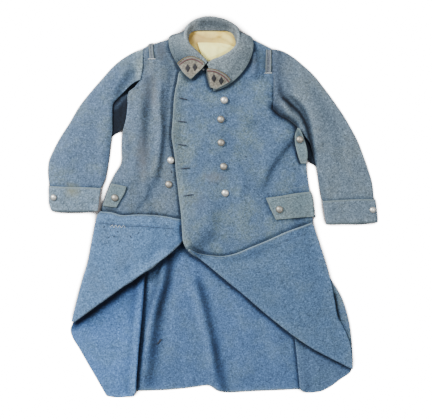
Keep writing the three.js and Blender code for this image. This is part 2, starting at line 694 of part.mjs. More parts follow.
// Middle of the collar cloth at one station: neck seam, stand, roll line, fall and its edge
function collarSection({ neck, roll, fall, rise, lean, edge }, out, under) {
  const turn = THREE.MathUtils.degToRad(lean);
  const extreme = [out[0] * Math.sin(turn), out[1] * Math.sin(turn), Math.cos(turn)];
  const across = [out[0] * Math.cos(turn), out[1] * Math.cos(turn), -Math.sin(turn)];
  const seat = topNear(...neck) + GAP + COLLAR_WALL / 2;
  const tip = [roll[0], roll[1], seat + rise];
  const centre = tip.map((v, k) => v - ROLL_RADIUS * extreme[k]);
  const arc = ROLL_ARC.map((angle) => {
    const a = THREE.MathUtils.degToRad(angle);
    return centre.map((v, k) => v + ROLL_RADIUS * (Math.cos(a) * extreme[k] + Math.sin(a) * across[k]));
  });
  const between = (a, b, t, drop = t) => [0, 1, 2].map((k) => a[k] + (b[k] - a[k]) * (k === 2 ? drop : t));
  const last = arc[arc.length - 1];
  const base = [neck[0], neck[1], seat];
  const tipOfFall = [fall[0], fall[1], edge ?? (under ? 0 : topNear(...fall) + GAP) + COLLAR_WALL / 2];
  const drops = under ? HIDDEN_DROPS : FALL_DROPS;
  return [base, between(base, arc[0], 0.5), ...arc,
    ...drops.map((drop, k) => between(last, tipOfFall, (k + 1) / (drops.length + 1), drop)), tipOfFall];
}

function addCollar(material) {
  const plan = COLLAR.map(({ roll }) => roll);
  const sections = COLLAR.map((station, k) => {
    const from = plan[Math.max(0, k - 1)];
    const to = plan[Math.min(plan.length - 1, k + 1)];
    const length = Math.hypot(to[0] - from[0], to[1] - from[1]);
    const out = [-(to[1] - from[1]) / length, (to[0] - from[0]) / length];
    return collarSection(station, out, k >= FIRST_UNDER && k <= LAST_UNDER);
  });
  // lift the visible fall clear of the fronts
  sections.forEach((section, k) => {
    const sure = k >= FIRST_UNDER - 1 && k <= LAST_UNDER + 1 ? section.slice(0, STAND_POINTS) : section;
    for (const p of sure) p[2] = Math.max(p[2], topNear(p[0], p[1]) + GAP + COLLAR_WALL / 2);
  });
  const rows = sections.length;
  const columns = sections[0].length;
  const side = (sign) => sections.map((section, r) => section.map((p, c) => {
    const along = new THREE.Vector3(...sections[Math.min(rows - 1, r + 1)][c])
      .sub(new THREE.Vector3(...sections[Math.max(0, r - 1)][c]));
    const over = new THREE.Vector3(...section[Math.min(columns - 1, c + 1)])
      .sub(new THREE.Vector3(...section[Math.max(0, c - 1)]));
    const normal = along.cross(over).normalize().multiplyScalar((sign * COLLAR_WALL) / 2);
    return [p[0] + normal.x, p[1] + normal.y, Math.max(0, p[2] + normal.z)];
  }));
  const one = side(1);
  const two = side(-1);
  keepTop(one);
  keepTop(two);
  addWall('collar', material, one, two);
}

// A domed button on a short shank that stands on the cloth
function addButton(name, [x, y], radius) {
  const ring = (r, count) => Array.from({ length: count }, (_, k) => {
    const angle = (2 * Math.PI * k) / count;
    return topAt(x + r * Math.cos(angle), y + r * Math.sin(angle));
  });
  const shank = Math.max(topAt(x, y), ...ring(SHANK_RADIUS, 8)) + LEAST_GAP;
  const rim = Math.max(shank + 1, ...ring(radius, 24), ...ring(radius / 2, 12)) + LEAST_GAP;
  const stem = [[0, shank], [SHANK_RADIUS, shank], [SHANK_RADIUS, rim]].map(([r, z]) => new THREE.Vector2(r, z));
  const dome = BUTTON_DOME.map(({ out, up }) => new THREE.Vector2(radius * out, rim + BUTTON_RISE * up));
  const geometry = new THREE.LatheGeometry([...stem, ...dome], BUTTON_SIDES);
  geometry.rotateX(Math.PI / 2);
  const mesh = new THREE.Mesh(geometry, metal(SILVER, 0.35));
  mesh.name = name;
  mesh.position.set(x, y, 0);
  group.add(mesh);
}

const wool = cloth(GREY_BLUE);
const skirtWool = cloth(SKIRT_BLUE);
const cream = cloth(CREAM);
const patchCloth = cloth(PATCH_GREY);

layHiddenFall();
addPanel('back', skirtWool, BACK, ['left', 'right'], WOOL, { lift: (x, y) => foldHeight(FOLDS_BACK, x, y) });
addPanel('side_panel_right', skirtWool, SIDE_PANEL_RIGHT, ['seam', 'side'], WOOL);
addPanel('side_panel_left', skirtWool, SIDE_PANEL_LEFT, ['seam', 'side'], WOOL);
addPanel('sleeve_under_right', wool, SLEEVE_UNDER_RIGHT, ['inner', 'outer'], WOOL, { columns: UNDER_COLUMNS });
addPanel('sleeve_under_left', wool, SLEEVE_UNDER_LEFT, ['inner', 'outer'], WOOL, { columns: UNDER_COLUMNS });
addPanel('lining_back', cream, LINING_BACK, ['left', 'right'], LINING, { reach: CUFF_REACH });
addPanel('lining_yoke', cream, LINING_YOKE, ['left', 'right'], LINING, { reach: FLAP_REACH });
addFront('front_right', wool, FRONT_RIGHT, CORNER_RIGHT, -1, FOLDS_FRONT_RIGHT);
addFront('front_left', wool, FRONT_LEFT, CORNER_LEFT, 1, FOLDS_FRONT_LEFT);

// A sleeve stands a little proud of its under side, but not at its edges or where the cap is sewn in
const tube = (folds) => (x, y, u, v) => smooth(v / CAP_EASE)
  * (SLEEVE_LOFT * (1 - (2 * u - 1) ** 4) + foldHeight(folds, x, y) * (1 - (2 * u - 1) ** 6));
addPanel('sleeve_top_right', wool, SLEEVE_TOP_RIGHT, ['inner', 'outer'], WOOL,
  { lift: tube(FOLDS_SLEEVE_RIGHT), columns: SLEEVE_COLUMNS });
addPanel('sleeve_top_left', wool, SLEEVE_TOP_LEFT, ['inner', 'outer'], WOOL,
  { lift: tube(FOLDS_SLEEVE_LEFT), columns: SLEEVE_COLUMNS });
addPanel('cuff_right', wool, CUFF_RIGHT, ['inner', 'outer'], WOOL, { reach: CUFF_REACH, columns: SLEEVE_COLUMNS });
addPanel('cuff_left', wool, CUFF_LEFT, ['inner', 'outer'], WOOL, { reach: CUFF_REACH, columns: SLEEVE_COLUMNS });
addPanel('pocket_flap_right', wool, POCKET_FLAP_RIGHT, ['left', 'right'], WOOL, { reach: FLAP_REACH, columns: TAB_COLUMNS });
addPanel('pocket_flap_left', wool, POCKET_FLAP_LEFT, ['left', 'right'], WOOL, { reach: FLAP_REACH, columns: PATCH_COLUMNS });
addPanel('belt_tab', wool, BELT_TAB, ['left', 'right'], WOOL, { reach: FLAP_REACH, columns: TAB_COLUMNS });
addPanel('shoulder_loop_right', wool, SHOULDER_LOOP_RIGHT, ['left', 'right'], TRIM, { reach: LOOP_REACH });
addPanel('shoulder_loop_left', wool, SHOULDER_LOOP_LEFT, ['left', 'right'], TRIM, { reach: LOOP_REACH });
addCollar(wool);
addPanel('collar_patch_right', patchCloth, PATCH_RIGHT, ['left', 'right'], TRIM, { reach: PATCH_REACH, columns: PATCH_COLUMNS, sample: FINE_SAMPLE });
addPanel('collar_patch_left', patchCloth, PATCH_LEFT, ['left', 'right'], TRIM, { reach: PATCH_REACH, columns: PATCH_COLUMNS, sample: FINE_SAMPLE });
addPanel('collar_hook', metal(DARK_METAL, 0.6), COLLAR_HOOK, ['left', 'right'], TRIM, { reach: PATCH_REACH, sample: FINE_SAMPLE });

const BUTTONS = [
  { name: 'button_front_1', at: [36, 341], radius: BUTTON_RADIUS },
  { name: 'button_front_2', at: [25, 280], radius: BUTTON_RADIUS },
  { name: 'button_front_3', at: [26, 206], radius: BUTTON_RADIUS },
  { name: 'button_front_4', at: [34, 130], radius: BUTTON_RADIUS },
  { name: 'button_front_5', at: [39, 45], radius: BUTTON_RADIUS },
  { name: 'button_under_1', at: [-134, 150], radius: BUTTON_RADIUS },
  { name: 'button_under_2', at: [-141, 73], radius: BUTTON_RADIUS },
  { name: 'button_pocket_right', at: [-312, 30], radius: BUTTON_RADIUS },
  { name: 'button_pocket_left', at: [211, -7], radius: BUTTON_RADIUS },
  { name: 'button_tab', at: [276, 215], radius: BUTTON_RADIUS },
  { name: 'button_cuff_right', at: [-507, 31], radius: CUFF_BUTTON_RADIUS },
  { name: 'button_cuff_left', at: [508, -8], radius: CUFF_BUTTON_RADIUS },
];
for (const { name, at, radius } of BUTTONS) addButton(name, at, radius);

export default group;
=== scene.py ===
# %% [markdown]
# Military greatcoat, laid flat
#
# This lesson dresses a packed coat of plain panels in wool, thread, braid and metal. Every panel is
# laid by the same few lines of code, one on top of the other, in the order in which the coat came to
# lie on the table: back, side bodies, under sleeves, lining, fronts, top sleeves, flaps, collar.
# Sizes are in millimetres until a mesh is made, and Blender gets metres. Left and right are the
# wearer's.

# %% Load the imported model
import math
import bpy
import numpy as np
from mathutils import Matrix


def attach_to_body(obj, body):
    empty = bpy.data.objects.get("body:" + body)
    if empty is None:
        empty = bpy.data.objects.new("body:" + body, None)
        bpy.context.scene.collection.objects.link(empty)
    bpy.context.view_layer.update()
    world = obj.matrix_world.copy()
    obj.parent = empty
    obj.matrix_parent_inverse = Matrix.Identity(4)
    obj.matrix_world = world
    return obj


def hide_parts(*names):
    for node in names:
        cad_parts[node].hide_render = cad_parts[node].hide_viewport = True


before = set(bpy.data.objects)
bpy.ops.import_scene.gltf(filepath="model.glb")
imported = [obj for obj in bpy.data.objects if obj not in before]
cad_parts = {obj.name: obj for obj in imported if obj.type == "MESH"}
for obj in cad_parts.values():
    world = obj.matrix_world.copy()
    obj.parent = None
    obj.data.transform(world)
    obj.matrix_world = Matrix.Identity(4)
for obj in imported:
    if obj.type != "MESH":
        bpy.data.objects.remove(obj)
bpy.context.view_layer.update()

# %% [markdown]
# A map of heights
#
# Real cloth comes to rest on whatever is below it and bridges small steps, because wool coating is
# stiff. A cloth simulation of some twenty sheets, six deep in places, would take too long and would
# drift away from the photograph. Instead one map holds the height of everything laid so far. A new
# panel takes the highest point within reach, then a running mean of that, and so it comes down
# softly beside a step.

# %% The map, and how a panel reads it
CELL = 2.0
EAST = np.arange(-560.0, 561.0, CELL)
NORTH = np.arange(-650.0, 651.0, CELL)
FINER = 4
ground = np.zeros((NORTH.size, EAST.size))
highest = np.maximum.reduce


def average(layers):
    return sum(layers) / len(layers)


def between(field, fx, fy, share=lambda t: t):
    """Values of a grid at places between its points."""
    i, j = fx.astype(int), fy.astype(int)
    u, v = share(fx - i), share(fy - j)
    low = field[j, i] * (1 - u) + field[j, i + 1] * u
    high = field[j + 1, i] * (1 - u) + field[j + 1, i + 1] * u
    return low * (1 - v) + high * v


def read_map(field, x, y):
    fx = np.clip((x - EAST[0]) / CELL, 0, EAST.size - 1.001)
    fy = np.clip((y - NORTH[0]) / CELL, 0, NORTH.size - 1.001)
    return between(field, fx, fy)


def neighbours(field, reach, join):
    n = max(1, int(round(reach / CELL)))
    for axis in (0, 1):
        pad = [(n, n) if a == axis else (0, 0) for a in (0, 1)]
        wide = np.pad(field, pad, mode="edge")
        size = field.shape[axis]
        field = join([wide.take(range(k, k + size), axis) for k in range(2 * n + 1)])
    return field


def rest_map(reach):
    field = neighbours(ground, reach, highest)
    for _ in range(2):
        field = neighbours(field, reach / 2, average)
    return field


def pile_up(points):
    """Writes a laid surface into the map, from points closer together than its cells."""
    for axis in (0, 1):
        last = points.shape[axis] - 1
        at = np.linspace(0, last, last * FINER + 1)
        i = np.minimum(at.astype(int), last - 1)
        f = np.expand_dims(at - i, (1 - axis, 2))
        points = points.take(i, axis) * (1 - f) + points.take(i + 1, axis) * f
    i = np.clip(np.rint((points[..., 0] - EAST[0]) / CELL).astype(int), 0, EAST.size - 1)
    j = np.clip(np.rint((points[..., 1] - NORTH[0]) / CELL).astype(int), 0, NORTH.size - 1)
    np.maximum.at(ground, (j, i), points[..., 2])


print("map", ground.shape)

# %% [markdown]
# From a pattern piece to a grid
#
# A pattern piece is a short table: each row is a line across the cloth, from one edge to the other,
# as x and y of its first point, x and y of the next, and so on. The grid has extra lines close to the
# borders, so that an edge can be rounded and a row of stitching can press a groove beside it.

# %% Curves and grids
STEP = 5.0
NEAR_EDGE = np.array([0.0, 0.8, 2.2, 4.4, 6.4, 8.4, 11.0])
NARROW = 30
CURVE_STEPS = 24
LEAST_STEP = 0.6


def steps_of(line):
    return np.linalg.norm(np.diff(line, axis=0), axis=-1)


def running(steps):
    return np.concatenate([[0], np.cumsum(steps)])


def line_length(line):
    return steps_of(line).sum()


def dense_line(points):
    """A smooth line through points, given as pairs or as one row of numbers."""
    p = np.reshape(np.array(points, float), (-1, 2))
    if len(p) == 2:
        return p
    p = np.vstack([2 * p[0] - p[1], p, 2 * p[-1] - p[-2]])
    t = running(np.sqrt(steps_of(p)))
    out = []
    for k in range(1, len(p) - 2):
        s = np.linspace(t[k], t[k + 1], CURVE_STEPS + 1)[:, None]
        if k < len(p) - 3:
            s = s[:-1]

        def blend(a, b, one, two):
            return ((t[b] - s) * one + (s - t[a]) * two) / (t[b] - t[a])
        before, here, after = (blend(n, n + 1, p[n], p[n + 1]) for n in (k - 1, k, k + 1))
        out.append(blend(k, k + 1, blend(k - 1, k + 1, before, here), blend(k, k + 2, here, after)))
    return np.vstack(out)


def points_at(line, distances):
    run = running(steps_of(line))
    return np.stack([np.interp(distances, run, line[:, k]) for k in range(line.shape[1])], -1)


def edge_spaced(length, count):
    near = NEAR_EDGE * min(1, length / NARROW)
    middle = np.linspace(near[-1], length - near[-1], count)[1:-1]
    return np.concatenate([near, middle, length - near[::-1]])


def smooth_between(t, values, at):
    """A smooth curve through rows of values, in which each row keeps its place."""
    shape = (-1,) + (1,) * (values.ndim - 1)
    h = np.diff(t).reshape(shape)
    slope = np.diff(values, axis=0) / h
    inner = (slope[:-1] * h[1:] + slope[1:] * h[:-1]) / (h[:-1] + h[1:])
    m = np.concatenate([slope[:1], inner, slope[-1:]])
    k = np.clip(np.searchsorted(t, at, side="right") - 1, 0, len(t) - 2)
    hk = (t[k + 1] - t[k]).reshape(shape)
    s = ((at - t[k]) / (t[k + 1] - t[k])).reshape(shape)
    return ((1 + 2 * s) * (1 - s) ** 2 * values[k] + s * (1 - s) ** 2 * hk * m[k]
            + s * s * (3 - 2 * s) * values[k + 1] + s * s * (s - 1) * hk * m[k + 1])


def pattern_grid(rows, step=STEP, columns=None, start=True, end=True):
    """Plan points of a piece, with each point's distance from its four borders."""
    lines = [dense_line(row) for row in rows]
    widths = [line_length(line) for line in lines]
    count = columns or max(2, int(round(max(widths) / step)))
    across = np.array([edge_spaced(w, count) for w in widths])
    points = np.array([points_at(line, a) for line, a in zip(lines, across)])
    t = running(steps_of(points).mean(axis=1))
    along = edge_spaced(t[-1], max(2, int(round(t[-1] / step))))
    if not start:
        along = np.concatenate([[0], along[along > LEAST_STEP * step]])
    if not end:
        along = np.concatenate([along[along < t[-1] - LEAST_STEP * step], [t[-1]]])
    plan = smooth_between(t, points, along)
    first = np.array([np.interp(along, t, across[:, k]) for k in range(across.shape[1])]).T
    width = np.interp(along, t, widths)[:, None]
    down = np.repeat(along[:, None], first.shape[1], 1)
    borders = {"first": first, "last": width - first, "start": down, "end": t[-1] - down}
    return plan[..., 0], plan[..., 1], borders


# %% [markdown]
# Creases and small unevenness
#
# The big creases of the coat are placed one by one: each has a path, a height and how far the cloth
# takes to fall away on either side of it. Between them a worn wool surface is never quite flat, so a
# soft noise with a fixed seed is added, a millimetre or two high.

# %% Creases
FAR = 1e9
LATTICE = 1400
CREASE_END = 0.15
CREASE_TAPER = 0.2
# Heights of the unevenness, and how far apart its bumps are, from broad to fine
BUMPS = ((1.5, 62), (0.8, 27), (0.25, 11))


def ease(t):
    s = np.clip(t, 0, 1)
    return s * s * (3 - 2 * s)


def nearest_on(path, every, x, y):
    """Distance from a path, the side on which a point lies, and its share of the way along."""
    line = dense_line(path)
    line = line[::every] if len(line) > 2 else line
    best, side, share = np.full(x.shape, FAR), np.zeros_like(x), np.zeros_like(x)
    for k, ((ax, ay), (bx, by)) in enumerate(zip(line[:-1], line[1:])):
        dx, dy = bx - ax, by - ay
        t = np.clip(((x - ax) * dx + (y - ay) * dy) / (dx * dx + dy * dy), 0, 1)
        px, py = x - ax - t * dx, y - ay - t * dy
        d = np.hypot(px, py)
        near = d < best
        best = np.where(near, d, best)
        side = np.where(near, dx * py - dy * px, side)
        share = np.where(near, (k + t) / (len(line) - 1), share)
    return best, side, share


def creases(table, x, y):
    total = np.zeros_like(x)
    for path, tall, left, right in table:
        best, side, share = nearest_on(path, 4, x, y)
        ends = ease(share / CREASE_TAPER) * ease((1 - share) / CREASE_TAPER)
        fade = CREASE_END + (1 - CREASE_END) * ends
        total += tall * fade * np.exp(-(best / np.where(side > 0, left, right)) ** 2)
    return total


def raised_edge(table, tall=0.0, wide=1.0, share=lambda y: 1.0):
    """A lift made of creases and of a first edge that stands proud."""
    def lift(x, y, borders):
        return creases(table, x, y) + tall * share(y) * np.exp(-(borders["first"] / wide) ** 2)
    return lift


def unevenness(x, y, size, seed):
    """Smooth noise from 0 to 1 with bumps about size apart."""
    rng = np.random.default_rng(seed)
    count = int(LATTICE / size) + 4
    lattice = rng.random((count, count))
    return between(lattice, (x + LATTICE / 2) / size, (y + LATTICE / 2) / size, ease)


def worn_surface(x, y, seed, amount=1.0):
    return amount * sum(tall * unevenness(x, y, size, seed + k) for k, (tall, size) in enumerate(BUMPS))


# %% [markdown]
# Closing a panel into a thin shell
#
# A sheet of cloth here is a closed shell as thick as the cloth. The two faces draw together at the
# border, so that light rolls over a soft edge. A turned edge is made thicker than the rest, because
# it holds the hem allowance, and gets a groove where the stitching pulls it down.

# %% Meshes
pieces = {}


def put(name, data):
    thing = bpy.data.objects.new(name, data)
    bpy.context.scene.collection.objects.link(thing)
    return thing


def make_mesh(name, vertices, faces, marks=None):
    mesh = bpy.data.meshes.new(name)
    v = np.asarray(vertices, float) / 1000
    f = np.asarray(faces, np.int32)
    mesh.vertices.add(len(v))
    mesh.vertices.foreach_set("co", v.ravel())
    mesh.loops.add(f.size)
    mesh.loops.foreach_set("vertex_index", f.ravel())
    mesh.polygons.add(len(f))
    mesh.polygons.foreach_set("loop_start", np.arange(0, f.size, f.shape[1], dtype=np.int32))
    mesh.polygons.foreach_set("use_smooth", np.ones(len(f), bool))
    mesh.update(calc_edges=True)
    mesh.validate()
    for key, values in (marks or {}).items():
        layer = mesh.attributes.new(key, "FLOAT", "POINT")
        layer.data.foreach_set("value", np.asarray(values, np.float32).ravel())
    pieces[name] = put(name, mesh)
    return pieces[name]


def outward(v, f):
    """The faces, all turned round if their volume is negative."""
    a, b, c, d = (v[f[:, k]] for k in range(4))
    twice = np.einsum("ij,ij->i", a, np.cross(b, c)) + np.einsum("ij,ij->i", a, np.cross(c, d))
    return f[:, ::-1] if twice.sum() < 0 else f


def close_shell(name, face, back, marks):
    rows, columns = face.shape[:2]
    index = np.arange(rows * columns).reshape(rows, columns)
    top = np.stack([index[:-1, :-1], index[:-1, 1:], index[1:, 1:], index[1:, :-1]], -1).reshape(-1, 4)
    rim = np.concatenate([index[0, :-1], index[:-1, -1], index[-1, :0:-1], index[:0:-1, 0]])
    nxt = np.roll(rim, -1)
    n = rows * columns
    faces = np.concatenate([top, top[:, ::-1] + n, np.stack([nxt, rim, rim + n, nxt + n], -1)])
    vertices = np.concatenate([face.reshape(-1, 3), back.reshape(-1, 3)])
    doubled = {k: np.concatenate([m.ravel(), m.ravel()]) for k, m in marks.items()}
    print(name, len(faces), "faces, top", round(float(vertices[:, 2].max()), 1), "mm")
    return make_mesh(name, vertices, outward(vertices, faces), doubled)


# %% Shells
WOOL = 2.6
LINING = 1.2
TRIM = 1.5
GAP = 0.7
LEAST_GAP = 0.35
CLOSE = 4
BARE = 0.05
EDGE_ROUND = 2.2
EDGE_SHARE = 0.25
TURNED_HEIGHT = 0.9
STITCH_DEPTH = 0.55
STITCH_WIDE = 1.3
TURN_EASE = 3
CAP_SHARE = 0.06
CAP_TINT = 90
INSIDE = 99.0


def nearest(borders, names=None):
    return np.minimum.reduce([borders[n] for n in names or borders])


def thickness_share(borders):
    d = np.minimum(nearest(borders), EDGE_ROUND) / EDGE_ROUND
    return EDGE_SHARE + (1 - EDGE_SHARE) * np.sqrt(1 - (1 - d) ** 2)


def turned_edge(borders, names, depth, stitch):
    """Extra height of a turned edge, and the groove of its stitching."""
    if not names:
        return 0.0
    d = nearest(borders, names)
    groove = STITCH_DEPTH * np.exp(-((d - stitch) / STITCH_WIDE) ** 2)
    return TURNED_HEIGHT * (1 - ease((d - depth) / TURN_EASE)) - groove


def finished_edge(borders, names):
    return nearest(borders, names) if names else np.full(borders["first"].shape, INSIDE)


def lay_down(x, y, lift, reach=12):
    """Height of the under face of a cloth, above what the map holds."""
    base = read_map(rest_map(reach), x, y)
    under = base + GAP * np.minimum(1, base) + lift
    least = read_map(neighbours(ground, CLOSE, highest), x, y)
    return np.where(least > BARE, np.maximum(under, least + LEAST_GAP), under)


def two_faces(x, y, middle, share, ridge, thick=WOOL):
    """Points of the upper and the lower face of a cloth, from the height of its middle."""
    over, under = middle + share * thick / 2 + ridge * share, middle - share * thick / 2
    return np.stack([x, y, over], -1), np.stack([x, y, under], -1)


def lay_panel(name, rows, thick=WOOL, lift=None, turned=(), depth=16, stitch=6.4, seed=1, rough=1.0,
              reach=12, step=STEP, seam=None):
    x, y, borders = pattern_grid(rows, step)
    raise_by = worn_surface(x, y, seed, rough)
    if lift is not None:
        raise_by = raise_by + lift(x, y, borders)
    under = lay_down(x, y, raise_by, reach)
    share = thickness_share(borders)
    middle = under + thick / 2
    marks = {"edge": finished_edge(borders, turned)}
    if seam is not None:
        share = share * (CAP_SHARE + (1 - CAP_SHARE) * ease(borders["start"] / seam))
        middle = under + share * thick / 2 + 0.05
        marks["cap"] = 1 - ease(borders["start"] / CAP_TINT)
    over, under = two_faces(x, y, middle, share, turned_edge(borders, turned, depth, stitch), thick)
    under[..., 2] = np.maximum(under[..., 2], 0.0)
    pile_up(over)
    close_shell(name, over, under, marks)


# %% [markdown]
# Back and side bodies
#
# Only the neck and the skirt of the back show, the skirt with its inner side up. It has a deep open
# crease beside the vent on one side, a second crease that runs out at the hem, and softer ones
# between. The hem is a raw, slightly wavy line. The vents are the dark slits beside the back, so the
# side bodies stand a little proud along them. Behind the neck the collar's fall lies under the coat,
# so a plate as thick as that fall goes into the map before anything else.

# %% Hidden fall of the collar, then back
FALL_THICKNESS = 4.0
VENT_RUN = 60
HIDDEN_FALL = [
    (-88, 562, -126, 552), (-75, 583, -102, 532), (-49, 599, -64, 517), (-17, 606, -16, 513),
    (19, 602, 35, 519), (56, 587, 80, 532), (79, 565, 112, 550),
]
fall_x, fall_y, _ = pattern_grid(HIDDEN_FALL)
pile_up(np.stack([fall_x, fall_y, np.full(fall_x.shape, FALL_THICKNESS)], -1))

BACK = [
    (-80, 556, 77, 556), (-134, 535, 106, 535), (-179, 519, 150, 519), (-221, 499, 182, 499),
    (-221, 459, 186, 459), (-222, 414, 187, 414), (-234, 369, 182, 369), (-238, 318, 173, 318),
    (-235, 241, 178, 241), (-230, 151, 189, 151), (-226, 55, 205, 55), (-224, -41, 218, -41),
    (-222, -137, 234, -137), (-225, -201, 243, -201), (-232, -265, 252, -265), (-237, -335, 259, -335),
    (-243, -412, 267, -412), (-248, -482, 274, -482), (-252, -535, 280, -535),
    (-254, -560, -118, -560, -10, -553, 86, -563, 283, -560),
    (-255, -585, -210, -586, -118, -581, -51, -573, -12, -569, 20, -588, 144, -587, 285, -580),
]
BACK_CREASES = [
    ((-149, -137, -160, -239, -183, -310, -203, -402, -219, -570), 15, 17, 15),
    ((-112, -180, -118, -265, -127, -350, -133, -441, -146, -560), 5, 22, 26),
    ((-68, -200, -47, -290, -28, -370, -9, -450, 4, -585), 13, 15, 34),
    ((86, -200, 96, -425, 118, -560), 6, 48, 48), ((-30, -180, 0, -260, 22, -340, 40, -430), 4, 26, 22),
    ((180, -330, 196, -430, 215, -560), 5, 26, 34), ((-95, -470, -80, -530, -60, -575), 3, 26, 26),
]


def below(top):
    """Share of a vent's opening, which starts at a height on the coat and widens downwards."""
    return lambda y: ease((top - y) / VENT_RUN)


lay_panel("cloth_back", BACK, lift=raised_edge(BACK_CREASES, 3.5, 16, below(-170)), turned=("end",),
          depth=5, stitch=30, seed=11)

# %% Side bodies
SIDE_RIGHT = [
    (-239, 353, -258, 353), (-236, 305, -265, 305), (-232, 235, -280, 235), (-227, 145, -285, 145),
    (-222, 55, -326, 55), (-218, -15, -352, -15), (-214, -85, -368, -85), (-212, -153, -380, -153),
    (-216, -207, -395, -213), (-219, -265, -413, -274), (-223, -316, -429, -325), (-227, -361, -446, -367),
    (-230, -393, -455, -393), (-232, -418, -449, -415), (-236, -453, -428, -450), (-239, -498, -401, -497),
    (-243, -546, -373, -545), (-245, -581, -353, -581), (-251, -602, -278, -606, -314, -607, -340, -603),
]
SIDE_LEFT = [
    (171, 337, 195, 337), (173, 286, 234, 286), (178, 235, 275, 235), (187, 151, 290, 151),
    (203, 55, 301, 55), (216, -41, 310, -41), (230, -130, 331, -130), (239, -194, 352, -194),
    (246, -258, 378, -255), (252, -316, 411, -316), (256, -367, 427, -373), (260, -412, 435, -431),
    (265, -457, 438, -476), (269, -495, 441, -511), (272, -527, 439, -527), (275, -556, 405, -551),
    (277, -575, 374, -574), (286, -588, 304, -592, 326, -591, 349, -587),
]
SIDE_RIGHT_CREASES = [
    ((-300, -300, -345, -380, -365, -460), 4, 34, 34), ((-262, -330, -275, -450, -300, -560), 3, 26, 30),
]
SIDE_LEFT_CREASES = [((300, -420, 320, -500, 330, -570), 4, 26, 30)]
for name, rows, lift, seed in (
        ("cloth_side_right", SIDE_RIGHT, raised_edge(SIDE_RIGHT_CREASES, 5.5, 20, below(-170)), 21),
        ("cloth_side_left", SIDE_LEFT, raised_edge(SIDE_LEFT_CREASES, 2.5, 16, below(-330)), 31)):
    lay_panel(name, rows, lift=lift, turned=("first", "end"), depth=5, stitch=30, seed=seed)

# %% [markdown]
# Under sleeves and lining
#
# The under sleeve shows only in the dark gap at the armpit. The lining shows in the neck: a tan band
# that was folded under, and a lighter yoke on it with a soft crease down its middle.

# %% Under sleeves
UNDER_RIGHT = [
    (-232, 410, -240, 478), (-246, 374, -285, 459), (-262, 340, -330, 413), (-266, 299, -375, 366),
    (-282, 256, -413, 318), (-332, 216, -448, 262), (-342, 164, -477, 214), (-349, 122, -507, 158),
    (-362, 71, -513, 100), (-374, 20, -508, 22), (-376, -4, -506, -3),
]
UNDER_LEFT = [
    (215, 330, 215, 478), (250, 300, 262, 459), (270, 262, 306, 420), (282, 222, 348, 366),
    (294, 180, 384, 318), (304, 150, 413, 272), (343, 119, 442, 225), (351, 60, 474, 151),
    (359, 20, 499, 65), (369, -18, 503, 0), (374, -42, 504, -38),
]
lay_panel("cloth_sleeve_under_right", UNDER_RIGHT, seed=41, rough=0.5)
lay_panel("cloth_sleeve_under_left", UNDER_LEFT, seed=43, rough=0.5)

# %% Lining
LINING_BACK = [
    (-56, 566, 52, 566), (-80, 545, 80, 545), (-86, 523, 86, 523), (-83, 497, 86, 497), (-67, 471, 67, 465),
]
LINING_YOKE = [
    (-49, 524, -10, 524, 35, 521, 83, 505), (-44, 508, 83, 494), (-37, 487, 80, 478), (-30, 465, 64, 452),
    (-22, 439, 48, 420),
]
LINING_CREASES = [
    ((-70, 540, -20, 538, 40, 541), 2.2, 5, 9), ((-60, 528, -64, 505, -50, 478), 2.0, 6, 6),
    ((30, 552, 55, 535, 75, 515), 1.8, 6, 6),
]
YOKE_CREASES = [
    ((18, 520, 10, 495, 12, 470, 16, 440), 1.8, 5, 12), ((-38, 510, -18, 486, 4, 462), 1.6, 9, 5),
    ((74, 500, 50, 476, 30, 456), 1.8, 5, 9),
]
lay_panel("lining_back_cloth", LINING_BACK, LINING, raised_edge(LINING_CREASES), seed=51, rough=0.5,
          reach=9, step=4)
lay_panel("lining_yoke_cloth", LINING_YOKE, LINING, raised_edge(YOKE_CREASES),
          turned=("start", "first", "last"), depth=4, stitch=4.4, seed=53, rough=0.4, reach=6, step=4)

# %% [markdown]
# Fronts with turned back corners
#
# Each front is one piece of cloth. It runs from the shoulder down to a slanting fold, turns round the
# fold, and comes back over itself to the corner of the skirt. So one grid holds both layers and the
# turn between them, and the inner and outer faces are closed along all four borders at the end.

# %% How a front is laid
TURN = np.radians([-72, -50, -28, -9, 9, 28, 50, 72])
FLAP_LOFT = 1.4
FOLD_INSET = WOOL + 1.5 * FLAP_LOFT
FOLD_REACH = 45
LEAST_TURN = 0.3
HEM = 27
BEAD = 1.8
BEAD_AT = 3.4
BEAD_WIDE = 3.0
FRONT_HEM = 22
FRONT_STITCH = 7
WAY_SPAN = 4
FOLD_LIFT = 1.0
RIGHT_FOLD_RISE = 8


